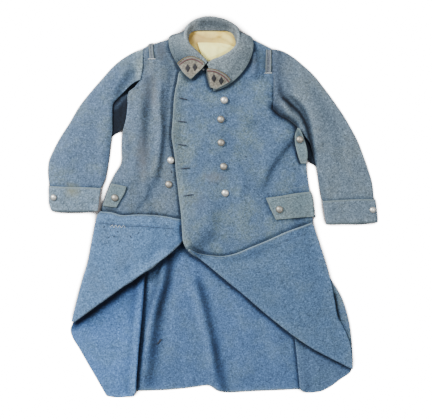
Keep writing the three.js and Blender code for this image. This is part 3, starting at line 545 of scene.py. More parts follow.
def lay_front(name, rows, corner, side, lift, fold_lift, corner_lift, seed, reach=12):
    columns = int(round(max(line_length(dense_line(row)) for row in rows) / STEP))
    fold = dense_line(rows[-1])
    along = edge_spaced(line_length(fold), columns)
    way = points_at(fold, np.minimum(along + WAY_SPAN, along[-1]))
    way -= points_at(fold, np.maximum(along - WAY_SPAN, 0))
    way /= np.linalg.norm(way, axis=1)[:, None]
    away = np.stack([side * way[:, 1], -side * way[:, 0]], -1)
    inset = points_at(fold, along) - away * FOLD_INSET
    table = rows[:-1] + [np.vstack([inset[:: max(1, len(inset) // 12)], inset[-1]])]
    x, y, body = pattern_grid(table, columns=columns, end=False)
    raise_by = worn_surface(x, y, seed) + lift(x, y, body)
    raise_by = raise_by + fold_lift(x, y) * np.exp(-(body["end"] / FOLD_REACH) ** 2)
    body["end"] = body["end"] + INSIDE
    middle = lay_down(x, y, raise_by, reach) + WOOL / 2
    ridge = turned_edge(body, ("first",), FRONT_HEM, FRONT_STITCH)
    over, under = two_faces(x, y, middle, thickness_share(body), ridge)
    pile_up(over)

    plan = over[-1, :, :2]
    cx, cy, flap = pattern_grid([plan] + corner, columns=columns, start=False)
    cx[0], cy[0] = plan.T
    flap["start"] = flap["start"] + INSIDE
    rise = worn_surface(cx, cy, seed + 5) + FLAP_LOFT + corner_lift(cx, cy, flap)
    bead = BEAD * np.exp(-((flap["first"] - BEAD_AT) / BEAD_WIDE) ** 2)
    ridge = turned_edge(flap, ("first",), HEM, HEM) + bead
    top, below_top = two_faces(cx, cy, lay_down(cx, cy, rise) + WOOL / 2, thickness_share(flap), ridge)

    def round_fold(lower, upper):
        radius = np.maximum(upper[0, :, 2] - lower[-1, :, 2], LEAST_TURN) / 2
        rings = [np.column_stack([plan + away * (radius * math.cos(angle))[:, None],
                                  lower[-1, :, 2] + radius * (1 + math.sin(angle))]) for angle in TURN]
        return np.array(rings)
    turn = round_fold(under, top)
    outer = np.concatenate([under, turn, top])
    inner = np.concatenate([over, round_fold(over, below_top), below_top])
    pile_up(top)
    pile_up(turn)

    def joined(lower, upper):
        return np.concatenate([lower, np.repeat(lower[-1:], len(TURN), 0), upper])
    close_shell(name, outer, inner, {
        "edge": joined(finished_edge(body, ("first",)), finished_edge(flap, ("first", "end"))),
        "corner": joined(np.zeros_like(x), np.ones_like(cx))})


# %% Right front, the under one
FRONT_RIGHT = [
    (19, 446, -32, 452, -67, 481, -134, 537), (17, 433, -32, 439, -102, 478, -179, 524),
    (15, 420, -227, 504), (13, 395, -227, 471), (10, 366, -228, 439), (6, 337, -234, 407),
    (3, 305, -250, 383), (-1, 273, -269, 366), (-4, 238, -272, 324), (-8, 203, -277, 283),
    (-12, 167, -289, 235), (-15, 132, -292, 187), (-18, 97, -292, 142), (-21, 62, -315, 103),
    (-24, 30, -334, 62), (-26, 4, -349, 20), (-27, -15, -360, -18), (-28, -26, -371, -82),
    (-29, -33, -131, -89, -253, -124, -383, -149), (-30, -37, -134, -117, -269, -185, -403, -226),
    (-31, -42, -138, -137, -282, -229, -424, -303), (-32, -45, -141, -151, -294, -260, -442, -367),
]
CORNER_RIGHT = [
    (-70, -41, -450, -361), (-104, -38, -440, -322), (-144, -30, -429, -277), (-195, -24, -414, -223),
    (-243, -23, -399, -175), (-288, -25, -390, -127), (-323, -16, -381, -79), (-358, -13, -369, -23),
]
FRONT_RIGHT_CREASES = [
    ((-165, 440, -172, 331, -168, 235, -176, 139, -196, 49), 9, 10, 24),
    ((-211, 452, -222, 356, -236, 260, -252, 151, -268, 55), 7, 24, 20),
    ((-190, 500, -196, 430, -199, 350), 4, 14, 12), ((-128, 420, -122, 330, -128, 240), 3, 16, 16),
    ((-246, 330, -262, 250, -272, 190), 3, 12, 14),
]
CORNER_RIGHT_CREASES = [
    ((-250, -60, -300, -150, -340, -240), 3.5, 34, 30), ((-150, -60, -220, -130, -300, -210), 3, 24, 30),
]


def right_fold(x, y):
    """Height of the right fold, which stands up between its two ends."""
    return FOLD_LIFT + RIGHT_FOLD_RISE * ease((x + 470) / 110) * ease((-70 - x) / 60)


lay_front("cloth_front_right", FRONT_RIGHT, CORNER_RIGHT, -1, raised_edge(FRONT_RIGHT_CREASES),
          right_fold, raised_edge(CORNER_RIGHT_CREASES, 1.5, 14), 61)

# %% Left front, the upper one
FRONT_LEFT = [
    (-88, 445, -19, 449, 54, 473, 112, 539), (-98, 437, -19, 439, 80, 468, 150, 524), (-107, 430, 188, 504),
    (-113, 401, 191, 465), (-120, 369, 193, 423), (-124, 337, 195, 385), (-126, 302, 199, 353),
    (-129, 260, 227, 311), (-131, 225, 267, 267), (-126, 190, 291, 222), (-121, 155, 298, 180),
    (-118, 113, 297, 139), (-113, 71, 301, 97), (-108, 27, 308, 55), (-102, -18, 316, 11),
    (-99, -60, 318, -37), (-97, -89, 326, -92), (-96, -103, 42, -108, 190, -130, 349, -162),
    (-93, -113, 48, -150, 205, -190, 374, -226), (-90, -121, 51, -185, 225, -255, 411, -290),
    (-87, -127, 54, -212, 245, -320, 435, -373), (-83, -132, 57, -233, 262, -377, 444, -457),
    (-78, -135, 59, -247, 278, -425, 444, -517),
]
CORNER_LEFT = [
    (-42, -147, 442, -473), (-6, -153, 435, -431), (29, -155, 418, -389), (64, -149, 399, -351),
    (122, -126, 387, -297), (166, -108, 377, -245), (234, -77, 360, -180), (285, -59, 337, -109),
    (315, -48, 319, -54),
]
FRONT_LEFT_CREASES = [
    ((266, 246, 232, 205, 196, 158, 168, 112, 152, 50), 10, 12, 30),
    ((198, 350, 180, 330, 172, 308, 196, 290), 5, 14, 16),
    ((184, 352, 158, 326, 144, 300, 140, 262), 6, 18, 20),
    ((106, 130, 92, 49, 88, -21, 106, -92), 4, 16, 26), ((128, 505, 134, 460, 130, 410), 5, 9, 12),
    ((150, 500, 156, 455, 150, 400), 4, 8, 10), ((60, 300, 110, 255, 150, 205), 3, 26, 26),
    ((-60, -40, 0, -70, 70, -80), 3, 24, 20), ((230, 40, 240, -60, 280, -150), 3, 26, 26),
]
CORNER_LEFT_CREASES = [
    ((60, -170, 160, -200, 260, -190, 350, -160), 3.5, 26, 30),
    ((150, -260, 260, -300, 360, -330), 3, 34, 34),
]
EDGE_LIFT = 2.0
EDGE_GAPE = 5.0


def open_edge(y):
    """Height of the overlapping edge, which gapes most between the first and the last button."""
    return EDGE_LIFT + EDGE_GAPE * ease((y - 60) / 120) * ease((440 - y) / 60)


lay_front("cloth_front_left", FRONT_LEFT, CORNER_LEFT, 1, raised_edge(FRONT_LEFT_CREASES, 1, 15, open_edge),
          lambda x, y: FOLD_LIFT, raised_edge(CORNER_LEFT_CREASES, 1.0, 13), 71, reach=32)

# %% [markdown]
# Sleeves and cuffs
#
# A top sleeve is a shallow arch over its under sleeve, flat along its cap seam and along its edges.
# The left one is folded deeply at the armpit, where a dark pocket opens beside a rounded ridge.

# %% Top sleeves
TOP_RIGHT = [
    (-231, 406, -225, 439, -224, 471, -224, 503), (-256, 393, -254, 495), (-278, 372, -286, 476),
    (-301, 351, -322, 446), (-318, 331, -353, 411), (-321, 289, -392, 366), (-321, 247, -427, 321),
    (-326, 206, -460, 265), (-331, 164, -488, 222), (-336, 129, -509, 182), (-343, 94, -525, 142),
    (-352, 71, -527, 107), (-360, 59, -522, 65), (-365, 23, -518, 27), (-367, -7, -515, -5),
]
TOP_LEFT = [
    (190, 313, 192, 353, 190, 423, 187, 503), (214, 292, 220, 500), (240, 279, 252, 482),
    (266, 257, 285, 455), (289, 230, 323, 420), (308, 206, 359, 375), (317, 177, 390, 332),
    (325, 147, 419, 289), (332, 119, 442, 249), (336, 89, 463, 209), (340, 62, 479, 167),
    (344, 39, 496, 119), (347, 27, 508, 78), (352, 14, 513, 33), (357, -18, 516, -2), (363, -46, 517, -41),
]
RIGHT_SLEEVE_CREASES = [
    ((-262, 452, -290, 415, -318, 362), 6, 16, 14), ((-387, 318, -413, 241, -419, 151), 4, 24, 24),
    ((-345, 300, -352, 240, -358, 180), 3, 14, 18), ((-440, 230, -470, 170, -486, 100), 3, 20, 20),
]
LEFT_SLEEVE_CREASES = [
    ((203, 356, 227, 318, 246, 283, 269, 254, 290, 220), 11, 12, 10),
    ((232, 380, 270, 352, 300, 318, 318, 272, 326, 215, 331, 158), 13, 30, 12),
    ((256, 420, 310, 360, 345, 290, 378, 215, 405, 132), 4, 26, 26),
    ((420, 200, 440, 140, 452, 80), 3, 20, 20),
]
SLEEVE_LOFT = 3.0
CAP_EASE = 0.12
CAP_SEAM = 16


def sleeve_arch(table):
    def lift(x, y, borders):
        u = 2 * borders["first"] / (borders["first"] + borders["last"]) - 1
        cap = ease(borders["start"] / (borders["start"] + borders["end"]) / CAP_EASE)
        return cap * (SLEEVE_LOFT * (1 - u ** 4) + creases(table, x, y) * (1 - u ** 6))
    return lift


for name, rows, table, seed in (("cloth_sleeve_top_right", TOP_RIGHT, RIGHT_SLEEVE_CREASES, 81),
                                ("cloth_sleeve_top_left", TOP_LEFT, LEFT_SLEEVE_CREASES, 83)):
    lay_panel(name, rows, lift=sleeve_arch(table), seed=seed, rough=0.8, seam=CAP_SEAM)

# %% Cuffs
CUFF_RIGHT = [
    (-357, 61, -413, 64, -470, 65, -524, 68), (-362, 33, -523, 39), (-364, 4, -522, 7),
    (-366, -12, -413, -16, -467, -17, -513, -13),
]
CUFF_LEFT = [
    (348, 20, 406, 23, 464, 26, 519, 25), (353, -9, 521, -2), (357, -34, 525, -27),
    (361, -55, 413, -53, 470, -54, 527, -48),
]
for name, rows, seed in (("cloth_cuff_right", CUFF_RIGHT, 91), ("cloth_cuff_left", CUFF_LEFT, 93)):
    lay_panel(name, rows, turned=("start", "end"), depth=10, stitch=5, seed=seed, rough=0.5, reach=8, step=4)

# %% [markdown]
# Pocket flaps, waist tab and shoulder loops
#
# These are small pieces sewn on top, so they follow the panel closely. The edges of flaps and tab are
# turned and stitched round. Most of the right flap lies under the front's turned edge or is worn
# away, so its short outer side is cut slanting. The tab stands a little off the coat in its middle.

# %% Small sewn pieces
FLAP_RIGHT = [(-324, 76, -275, 66), (-335, 52, -282, 44), (-343, 28, -295, 22), (-351, 4, -308, -1)]
FLAP_LEFT = [
    (168, 30, 214, 36, 266, 45, 312, 50), (172, 20, 317, 38), (177, 9, 319, 27), (181, -2, 322, 15),
    (188, -16, 321, 3), (193, -26, 326, -10), (197, -34, 324, -22),
    (200, -40, 243, -36, 288, -32, 330, -30),
]
TAB = [
    (268, 252, 276, 249), (261, 233, 285, 229), (260, 209, 294, 204), (266, 180, 300, 178),
    (273, 156, 301, 156), (280, 139, 296, 139),
]
LOOP_RIGHT = [(-206, 522, -192, 525), (-204, 498, -190, 499), (-202, 475, -187, 475)]
LOOP_LEFT = [(169, 502, 186, 502), (168, 466, 186, 466), (167, 430, 185, 430)]
ALL_ROUND = ("first", "last", "start", "end")
TAB_LOFT = 5.0
TAB_FOOT = 139
TAB_LONG = 113


def tab_lift(x, y, borders):
    return TAB_LOFT * np.sin(np.pi * np.clip((y - TAB_FOOT) / TAB_LONG, 0, 1)) ** 2


for name, rows, lift, seed, rough, step in (
        ("cloth_flap_right", FLAP_RIGHT, None, 101, 0.4, 3.5),
        ("cloth_flap_left", FLAP_LEFT, None, 103, 0.5, 3.5), ("cloth_tab", TAB, tab_lift, 105, 0.3, 3)):
    lay_panel(name, rows, lift=lift, turned=ALL_ROUND, depth=7, stitch=4.4, seed=seed, rough=rough,
              reach=5, step=step)
for name, rows, seed in (("cloth_loop_right", LOOP_RIGHT, 107), ("cloth_loop_left", LOOP_LEFT, 109)):
    lay_panel(name, rows, TRIM, turned=("first", "last"), depth=3, stitch=7, seed=seed, rough=0.2,
              reach=4, step=2)

# %% [markdown]
# Collar
#
# The collar is one ring of cloth. At each of twenty stations round the neck its section goes up the
# stand, over a small roll and down the fall. At the back of the neck it lies over flat, with the fall
# under the coat. The stations are joined by smooth curves and the cloth gets its thickness along the
# normals of the surface.

# %% Stations of the collar
COLLAR_WALL = 3.0
ROLL_RADIUS = 5.0
STATIONS = 20
NECK = (
    -20, 449, -39, 470, -58, 489, -75, 508, -80, 530, -78, 540, -75, 550, -61, 560, -40, 562, -16, 562,
    19, 562, 47, 560, 64, 549, 69, 539, 72, 529, 72, 508, 53, 487, 26, 471, 1, 460, -15, 447,
)
ROLL = (
    -19, 460, -41, 484, -61, 500, -80, 515, -88, 535, -90, 548, -88, 562, -75, 583, -49, 599, -17, 606,
    19, 602, 56, 587, 79, 565, 82, 550, 83, 535, 78, 508, 56, 486, 27, 471, 0, 462, -20, 451,
)
FALL = (
    -69, 405, -91, 426, -117, 462, -136, 500, -141, 531, -138, 544, -126, 552, -102, 532, -64, 517,
    -16, 513, 35, 519, 80, 532, 112, 550, 124, 541, 128, 522, 124, 487, 106, 447, 72, 407, 35, 381, 2, 369,
)
NECK, ROLL, FALL = (np.reshape(line, (STATIONS, 2)) for line in (NECK, ROLL, FALL))
RISE = (15, 18, 21, 23, 22, 19, 15, 9, 5, 4, 4, 9, 15, 19, 22, 23, 21, 18, 16, 14)
LEAN = np.radians([0, 0, 0, 8, 20, 38, 58, 78, 90, 90, 90, 78, 58, 38, 20, 8, 0, 0, 0, 0])
CREST_IN = np.array([0.45, 0.45, 0.45, 0.4, 0.2] + [0] * 10 + [0.2, 0.4, 0.45, 0.45, 0.45])[:, None]
ROLL = ROLL + CREST_IN * (NECK - ROLL)
BEHIND = range(6, 13)
SHOULDERS = (5, 13)
SHOULDER_EDGE = 10
SEAT_REACH = 10
# Degrees to which the roll turns, and how far the fall has come down at each quarter of its width
FRONT_TURN, SHOULDER_TURN, BEHIND_TURN = 32, 60, 90
FRONT_DROPS, BEHIND_DROPS = (0.2, 0.45, 0.72), (0.6, 0.96, 1)
ROLL_POINTS = 7
near_top = neighbours(ground, SEAT_REACH, highest)


def collar_section(k):
    way = ROLL[min(STATIONS - 1, k + 1)] - ROLL[max(0, k - 1)]
    way = way / np.linalg.norm(way)
    out = np.array([-way[1], way[0]])
    extreme = np.array([*(out * math.sin(LEAN[k])), math.cos(LEAN[k])])
    across = np.array([*(out * math.cos(LEAN[k])), -math.sin(LEAN[k])])
    seat = float(read_map(near_top, *NECK[k])) + GAP + COLLAR_WALL / 2
    centre = np.array([*ROLL[k], seat + RISE[k]]) - ROLL_RADIUS * extreme
    last, low, drops = FRONT_TURN, float(read_map(near_top, *FALL[k])) + GAP, FRONT_DROPS
    if k in BEHIND:
        last, low, drops = BEHIND_TURN, 0.0, BEHIND_DROPS
    if k in SHOULDERS:
        last, low = SHOULDER_TURN, SHOULDER_EDGE
    arc = [centre + ROLL_RADIUS * (math.cos(a) * extreme + math.sin(a) * across)
           for a in np.radians(np.linspace(-90, last, ROLL_POINTS))]
    base = np.array([*NECK[k], seat])
    end = np.array([*FALL[k], low + COLLAR_WALL / 2])
    fall = [arc[-1] + (end - arc[-1]) * (share, share, drop)
            for share, drop in zip((0.25, 0.5, 0.75), drops)]
    return np.array([base, base + (arc[0] - base) * 0.5, *arc, *fall, end])


sections = np.array([collar_section(k) for k in range(STATIONS)])
print("collar sections", sections.shape)

# %% The collar's cloth
RING_STEP = 4
SECTION_STEP = 2.6
COLLAR_STITCH = 6.4
COLLAR_HEM = 9
FALL_GAP = 0.5
PUFF = 1.8
COLLAR_RIDGE = 0.5
COLLAR_GROOVE = 1.2
STAND_FADE = 10
# Stations between which the fall is hidden under the coat
HIDDEN_FROM, HIDDEN_TO = 5.2, 12.8
# Points of a section at the top of the stand, at the crest and at the start of the fall
SECTION_MARKS = [2, 5, 8]
station = running(steps_of(sections[:, SECTION_MARKS[1]]))
round_neck = edge_spaced(station[-1], int(station[-1] / RING_STEP))
surface = smooth_between(station, sections, round_neck)
girth = running(np.linalg.norm(np.diff(surface, axis=1), axis=2).mean(axis=0))
stand_top, crest, fall_start = girth[SECTION_MARKS]
down_section = edge_spaced(girth[-1], int(girth[-1] / SECTION_STEP))
surface = smooth_between(girth, surface.transpose(1, 0, 2), down_section).transpose(1, 0, 2)
at_station = np.interp(round_neck, station, np.arange(STATIONS))[:, None]
down = np.repeat(down_section[None, :], len(round_neck), 0)
ring = np.repeat(round_neck[:, None], down.shape[1], 1)
past_crest = down > crest
shown_fall = ((at_station < HIDDEN_FROM) | (at_station > HIDDEN_TO)) & past_crest
clear = read_map(neighbours(ground, CLOSE, highest), surface[..., 0], surface[..., 1])
clear += FALL_GAP + COLLAR_WALL / 2
surface[..., 2] = np.where(shown_fall, np.maximum(surface[..., 2], clear), surface[..., 2])
puff = PUFF * np.sin(np.pi * np.clip((down - fall_start) / (girth[-1] - fall_start), 0, 1)) * shown_fall
surface[..., 2] += puff * unevenness(surface[..., 0], surface[..., 1], 30, 111)

normal = np.cross(np.gradient(surface, axis=0), np.gradient(surface, axis=1))
normal /= np.maximum(np.linalg.norm(normal, axis=2), 1e-9)[..., None]
borders = {"first": down, "last": girth[-1] - down, "start": ring, "end": station[-1] - ring}
edge_in = nearest(borders, ("last", "start", "end"))
ridge = COLLAR_RIDGE * (1 - ease((edge_in - COLLAR_HEM) / TURN_EASE))
ridge -= COLLAR_RIDGE * np.exp(-((edge_in - COLLAR_STITCH) / COLLAR_GROOVE) ** 2)
half = (thickness_share(borders) * COLLAR_WALL / 2)[..., None]
one, two = surface + normal * half, surface - normal * half
upper = one if normal[:, -6:, 2].mean() > 0 else two
upper[..., 2] += np.where(past_crest, ridge, 0)
for face in (one, two):
    face[..., 2] = np.maximum(face[..., 2], 0)
close_shell("cloth_collar", one, two, {"edge": np.where(past_crest, edge_in, INSIDE),
                                       "stand": 1 - ease((down - stand_top + 3) / STAND_FADE)})
pile_up(one)
pile_up(two)

# %% [markdown]
# Collar patches, braid and the plain lozenges
#
# Each collar end carries a patch of greyish wool that narrows towards its point. Two lines of flat
# braid run along its upper edge, and two plain dark lozenges are sewn on its field. The braid is a
# strip swept along a curve, a little taller in its middle.

# %% Patches
PATCH_RIGHT = [
    (-114, 456, -91, 470, -67, 474, -45, 467, -27, 455), (-107, 446, -28, 446), (-97, 430, -36, 436),
    (-82, 415, -55, 420), (-72, 407, -67, 408),
]
PATCH_LEFT = [
    (-21, 436, 9, 432, 40, 417, 56, 401), (-21, 420, 48, 394), (-16, 400, 33, 386), (-10, 381, 10, 374),
]
for name, rows, seed in (("cloth_patch_right", PATCH_RIGHT, 121), ("cloth_patch_left", PATCH_LEFT, 123)):
    lay_panel(name, rows, TRIM, turned=ALL_ROUND, depth=3, stitch=2.6, seed=seed, rough=0.2, reach=3,
              step=2.5)


# %% Strips and tubes that lie on the cloth
STRIP_END = 0.3


def on_ground(p, above):
    """Plan points with their height above the map."""
    return np.column_stack([p, read_map(ground, p[:, 0], p[:, 1]) + above])


def on_cloth(points, above=0.0, spacing=1.5):
    line = dense_line(points)
    count = max(3, int(line_length(line) / spacing) + 1)
    path = on_ground(points_at(line, np.linspace(0, line_length(line), count)), above)
    path[:, 2] = np.convolve(np.pad(path[:, 2], 1, mode="edge"), [0.25, 0.5, 0.25], mode="valid")
    return path


def ring_faces(rings, sides, first_cap=0):
    """Faces between rings of points, one ring after the other, and over both ends if asked for."""
    index = np.arange(rings * sides).reshape(rings, sides)
    nxt = np.roll(index, -1, axis=1)
    faces = [np.stack([index[:-1], nxt[:-1], nxt[1:], index[1:]], -1).reshape(-1, 4)]
    if first_cap:
        for row, turn in ((index[0], first_cap), (index[-1], -first_cap)):
            faces.append([[row[k - 1], row[k], row[-1 - k], row[-k]][::turn] for k in range(1, sides // 2)])
    return np.concatenate(faces)


def tube(path, way, wide, tall, sizes, sides):
    """Closed tube with an oval section, whose size changes along the path."""
    way = way / np.linalg.norm(way, axis=1)[:, None]
    across = np.cross(way, [0, 0, 1.0])
    across /= np.linalg.norm(across, axis=1)[:, None]
    up = np.cross(across, way)
    a = np.linspace(0, 2 * np.pi, sides, endpoint=False)[None, :, None]
    ring = np.cos(a) * across[:, None] * wide / 2 + np.sin(a) * up[:, None] * tall / 2
    v = path[:, None] + ring * np.reshape(sizes, (-1, 1, 1))
    return v.reshape(-1, 3), ring_faces(len(path), sides, 1)


def sweep(path, wide, tall, sides=6):
    sizes = [STRIP_END] + [1] * (len(path) - 2) + [STRIP_END]
    return tube(path, np.gradient(path, axis=0), wide, tall, sizes, sides)


def join_parts(name, parts):
    starts = np.cumsum([0] + [len(v) for v, f in parts])
    v = np.concatenate([v for v, f in parts])
    f = np.concatenate([f + start for (v, f), start in zip(parts, starts)])
    print(name, len(parts), "parts")
    return make_mesh(name, v, outward(v, f))


BRAID_WIDE = 4.4
BRAID_TALL = 2.2
BRAIDS = {
    "braid_outer": [
        (-113, 456, -90, 471, -67, 475, -45, 468, -29, 456), (-19, 437, 10, 433, 41, 418, 55, 403),
    ],
    "braid_inner": [
        (-108, 450, -88, 464, -67, 468, -47, 462, -31, 450), (-19, 431, 8, 427, 37, 411, 51, 396),
    ],
}
for braid, lines in BRAIDS.items():
    join_parts(braid, [sweep(on_cloth(line, 0.5), BRAID_WIDE, BRAID_TALL, 8) for line in lines])

LOZENGES = ((-80, 440), (-57, 442), (3, 407), (26, 400))
LOZENGE = np.reshape((0, 13, 0.8, 12, 7.4, 1, 8.2, 0, 7.4, -1, 0.8, -12, 0, -13, -0.8, -12, -7.4, -1,
                      -8.2, 0, -7.4, 1, -0.8, 12), (-1, 2))
LOZENGE_RINGS = ((0.02, 1.4), (0.45, 1.35), (0.86, 1.2), (1, 0.8), (1, 0.1), (1, -0.3))


def lozenge(place):
    rings = [on_ground(LOZENGE * size + place, up) for size, up in LOZENGE_RINGS]
    return np.concatenate(rings), ring_faces(len(rings), len(LOZENGE))


join_parts("patch_lozenges", [lozenge(place) for place in LOZENGES])

# %% [markdown]
# Buttons
#
# The buttons are domed shells of white metal on short shanks. A lathe profile with a rolled rim and a
# shallow groove inside it gives the bright spot and the dark ring that the picture shows on each, and
# painted shade darkens that ring and the underside.

# %% Lathe a button
BUTTONS = {
    "button_front_1": (36, 341), "button_front_2": (25, 280), "button_front_3": (26, 206),
    "button_front_4": (34, 130), "button_front_5": (39, 45), "button_under_1": (-134, 150),
    "button_under_2": (-141, 73), "button_pocket_right": (-312, 30), "button_pocket_left": (211, -7),
    "button_tab": (276, 215), "button_cuff_right": (-507, 31), "button_cuff_left": (508, -8),
}
RADIUS = 11.5
CUFF_RADIUS = 9.8
SHANK_SPACE = 1.6
MOST_TILT = 0.10
PROFILE = [(0, -2.4), (0.14, -2.4), (0.26, -2.2), (0.26, -0.3), (0.3, 0.0), (0.84, 0.1), (0.93, 0.25),
           (0.985, 0.6), (1.0, 1.05), (0.985, 1.5), (0.95, 1.85), (0.915, 1.95), (0.885, 1.9), (0.87, 2.0),
           (0.84, 2.5), (0.76, 3.4), (0.64, 4.3), (0.5, 5.1), (0.34, 5.75), (0.18, 6.1), (0.06, 6.22),
           (0.0, 6.24)]
SIDES = 48
SHADE_RING = 0.90
SHADE_RING_WIDE = 0.06
UNDERSIDE_SHADE = 0.4
BACK_TOP = 0.5


def lathe_button(name, x, y, radius, seed):
    near = [read_map(ground, np.array(x + r * math.cos(a)), np.array(y + r * math.sin(a)))
            for r in (0, radius / 2, radius * 0.95) for a in np.linspace(0, 6.28, 16)]
    rim = float(max(near)) + SHANK_SPACE
    a = np.linspace(0, 2 * np.pi, SIDES, endpoint=False)
    tx, ty = np.random.default_rng(seed).uniform(-MOST_TILT, MOST_TILT, 2)
    rings = []
    for out, up in PROFILE:
        r = max(out * radius, 0.05)
        px, py = r * np.cos(a), r * np.sin(a)
        rings.append(np.column_stack([x + px, y + py, rim + up + px * tx + py * ty]))
    v = np.concatenate(rings)
    # Painted shade: darker in the ring round the dome and on the underside of the button.
    grime_and_shade = [math.exp(-((out - SHADE_RING) / SHADE_RING_WIDE) ** 2) if up > BACK_TOP else UNDERSIDE_SHADE
            for out, up in PROFILE]
    faces = outward(v, ring_faces(len(rings), SIDES, -1))
    return make_mesh(name, v, faces, {"grime_and_shade": np.repeat(grime_and_shade, SIDES)})


for number, (name, (x, y)) in enumerate(BUTTONS.items()):
    lathe_button("metal_" + name, x, y, CUFF_RADIUS if "cuff" in name else RADIUS, 200 + number)
print(len(BUTTONS), "buttons")

# %% [markdown]
# Buttonholes, bar tacks, stitching and the hook
#
# A buttonhole is a dark slit with a rim of closely worked thread. The stitching is made as small
# separate stitches that sink at both ends, joined in one mesh, because at the photograph's scale it
# reads as a fine broken line along each edge. Everything is set on the map of heights.

# %% Buttonholes
BUTTONHOLES = [
    (-109, 348, -81, 342), (-112, 274, -84, 271), (-111, 200, -84, 197), (-103, 122, -75, 126),
    (-95, 36, -64, 41),
]
SLIT_DEPTH = (0, 0, 0.5)


def oval_ring(ends, out, count=28):
    a, b = np.reshape(ends, (2, 2))
    way = (b - a) / np.linalg.norm(b - a)
    side = np.array([-way[1], way[0]])
    t = np.linspace(0, 2 * np.pi, count, endpoint=False)
    c, s = np.cos(t), np.sin(t)
    span = np.linalg.norm(b - a) / 2 + out
    return (a + b) / 2 + np.outer(np.sign(c) * np.abs(c) ** 0.6 * span, way) + np.outer(s * out, side)


def slit(ends, half):
    """A dark oval plate on the cloth, painted shadow that reads as an opening."""
    p = oval_ring(ends, half)
    top = on_ground(p, 0.12)
    top[:, 2] = top[:, 2].max()
    middle = np.column_stack([(p - p.mean(0)) * 0.02 + p.mean(0), top[:, 2]])
    v = np.concatenate([middle, top, top - SLIT_DEPTH, middle - SLIT_DEPTH])
    return v, ring_faces(4, len(p))


def worked_edge(ends):
    path = on_ground(oval_ring(ends, 2.0), 0.2)
    return sweep(np.concatenate([path, path[:2]]), 1.0, 0.8)


join_parts("buttonhole_slits", [slit(ends, 1.4) for ends in BUTTONHOLES])
join_parts("buttonhole_thread", [worked_edge(ends) for ends in BUTTONHOLES])


# %% Stitches
STITCH_SIZES = (0.55, 1, 1.1, 1, 0.55)
STITCH_SINK = 0.55


def stitches_along(points, pitch=4.2, long=2.9, thick=0.75, above=0.18):
    line = dense_line(points)
    t = np.linspace(0, 1, len(STITCH_SIZES))
    rise = above - STITCH_SINK * (2 * t - 1) ** 4
    made = []
    for start in np.arange(pitch / 2, line_length(line) - long, pitch):
        path = on_ground(points_at(line, start + t * long), rise)
        made.append(tube(path, path[-1:] - path[:1], thick, thick, STITCH_SIZES, 6))
    return made


def beside(points, by):
    """A line moved sideways, to the left as it is walked."""
    line = dense_line(points)
    p = points_at(line, np.linspace(0, line_length(line), max(3, int(line_length(line) / 8))))
    way = np.gradient(p, axis=0)
    way /= np.linalg.norm(way, axis=1)[:, None]
    return p + np.stack([-way[:, 1], way[:, 0]], -1) * by


def first_edge(rows):
    return [row[:2] for row in rows]


def last_edge(rows):
    return [row[-2:] for row in rows]


FRONT_EDGE = first_edge(FRONT_LEFT)[2:17]
CORNER_EDGE = first_edge(CORNER_LEFT)
edge_stitching = []
for points, by in ((FRONT_EDGE, 6.5), (CORNER_EDGE, -7), (first_edge(CORNER_RIGHT), 7),
                   (CUFF_RIGHT[0], 5), (CUFF_RIGHT[-1], -5), (CUFF_LEFT[0], -5), (CUFF_LEFT[-1], 5)):
    edge_stitching += stitches_along(beside(points, by))
for flap in (FLAP_RIGHT, FLAP_LEFT):
    for points, by in ((flap[-1], 4.4), (flap[0], -4.4), (first_edge(flap), 4.4), (last_edge(flap), -4.4)):
        edge_stitching += stitches_along(beside(points, by), 3.6, 2.5)
for points, by in ((first_edge(TAB), 4.4), (last_edge(TAB), -4.4)):
    edge_stitching += stitches_along(beside(points, by), 3.4, 2.4)
for points in (FALL[13:], FALL[:6]):
    edge_stitching += stitches_along(beside(points, -COLLAR_STITCH), 3.8, 2.7)
edge_stitching += stitches_along((197, 427, 194, 353), 3.6, 2.6)
edge_stitching += stitches_along((205, 53, 262, 62, 308, 68), 3.8, 2.8)
join_parts("thread_edges", edge_stitching)

# %% Hem lines of the corners, a darn, moth holes and the tear
HEM_LINE = (-122, -68, -180, -64, -234, -60, -278, -60, -323, -54, -362, -49)
hem_stitching = stitches_along(HEM_LINE, 4.6, 3.7, 2.0, 0.5)
hem_stitching += stitches_along(beside(CORNER_EDGE[4:8], -HEM), 4.6, 3.4, 1.3)
join_parts("thread_hem", hem_stitching)
darn = [(-327 + 6.0 * k, -60 + (3.6 if k % 2 else -3.6) - 0.2 * k) for k in range(9)]
join_parts("thread_darn", [sweep(on_cloth(darn, 0.6, 1.0), 1.3, 1.0)])
HOLES = [
    (-299, -110, -296, -106), (-239, -84, -236, -81), (-348, -65, -345, -61), (-134, 115, -132, 110),
    (105, 163, 106, 160), (-316, -94, -314, -92), (-333, -96, -329, -94), (-262, -92, -260, -96),
    (-306, -78, -303, -77),
]
TEAR = [(-177, -436, -165, -423), (-172, -428, -168, -424)]
join_parts("moth_holes", [slit(ends, 1.5) for ends in HOLES] + [slit(ends, 2.4) for ends in TEAR])

# %% Bar tacks and the hook
TACK_BARS = 9
EYE_RADIUS = 3.4
TIE_HALF = 3.6
tacks = []
for ax, ay, bx, by in ((-208, 473, -183, 473), (164, 428, 188, 429)):
    for k in range(TACK_BARS):
        x = ax + (bx - ax) * (k + 0.5) / TACK_BARS
        tacks.append(sweep(on_cloth((x, ay - 1.8, x + 0.6, ay + 1.8), 0.5, 0.8), 1.6, 1.2))
    tacks.append(sweep(on_cloth((ax, ay, bx, by), 0.9, 1.5), 1.8, 1.6))
join_parts("thread_bar_tacks", tacks)

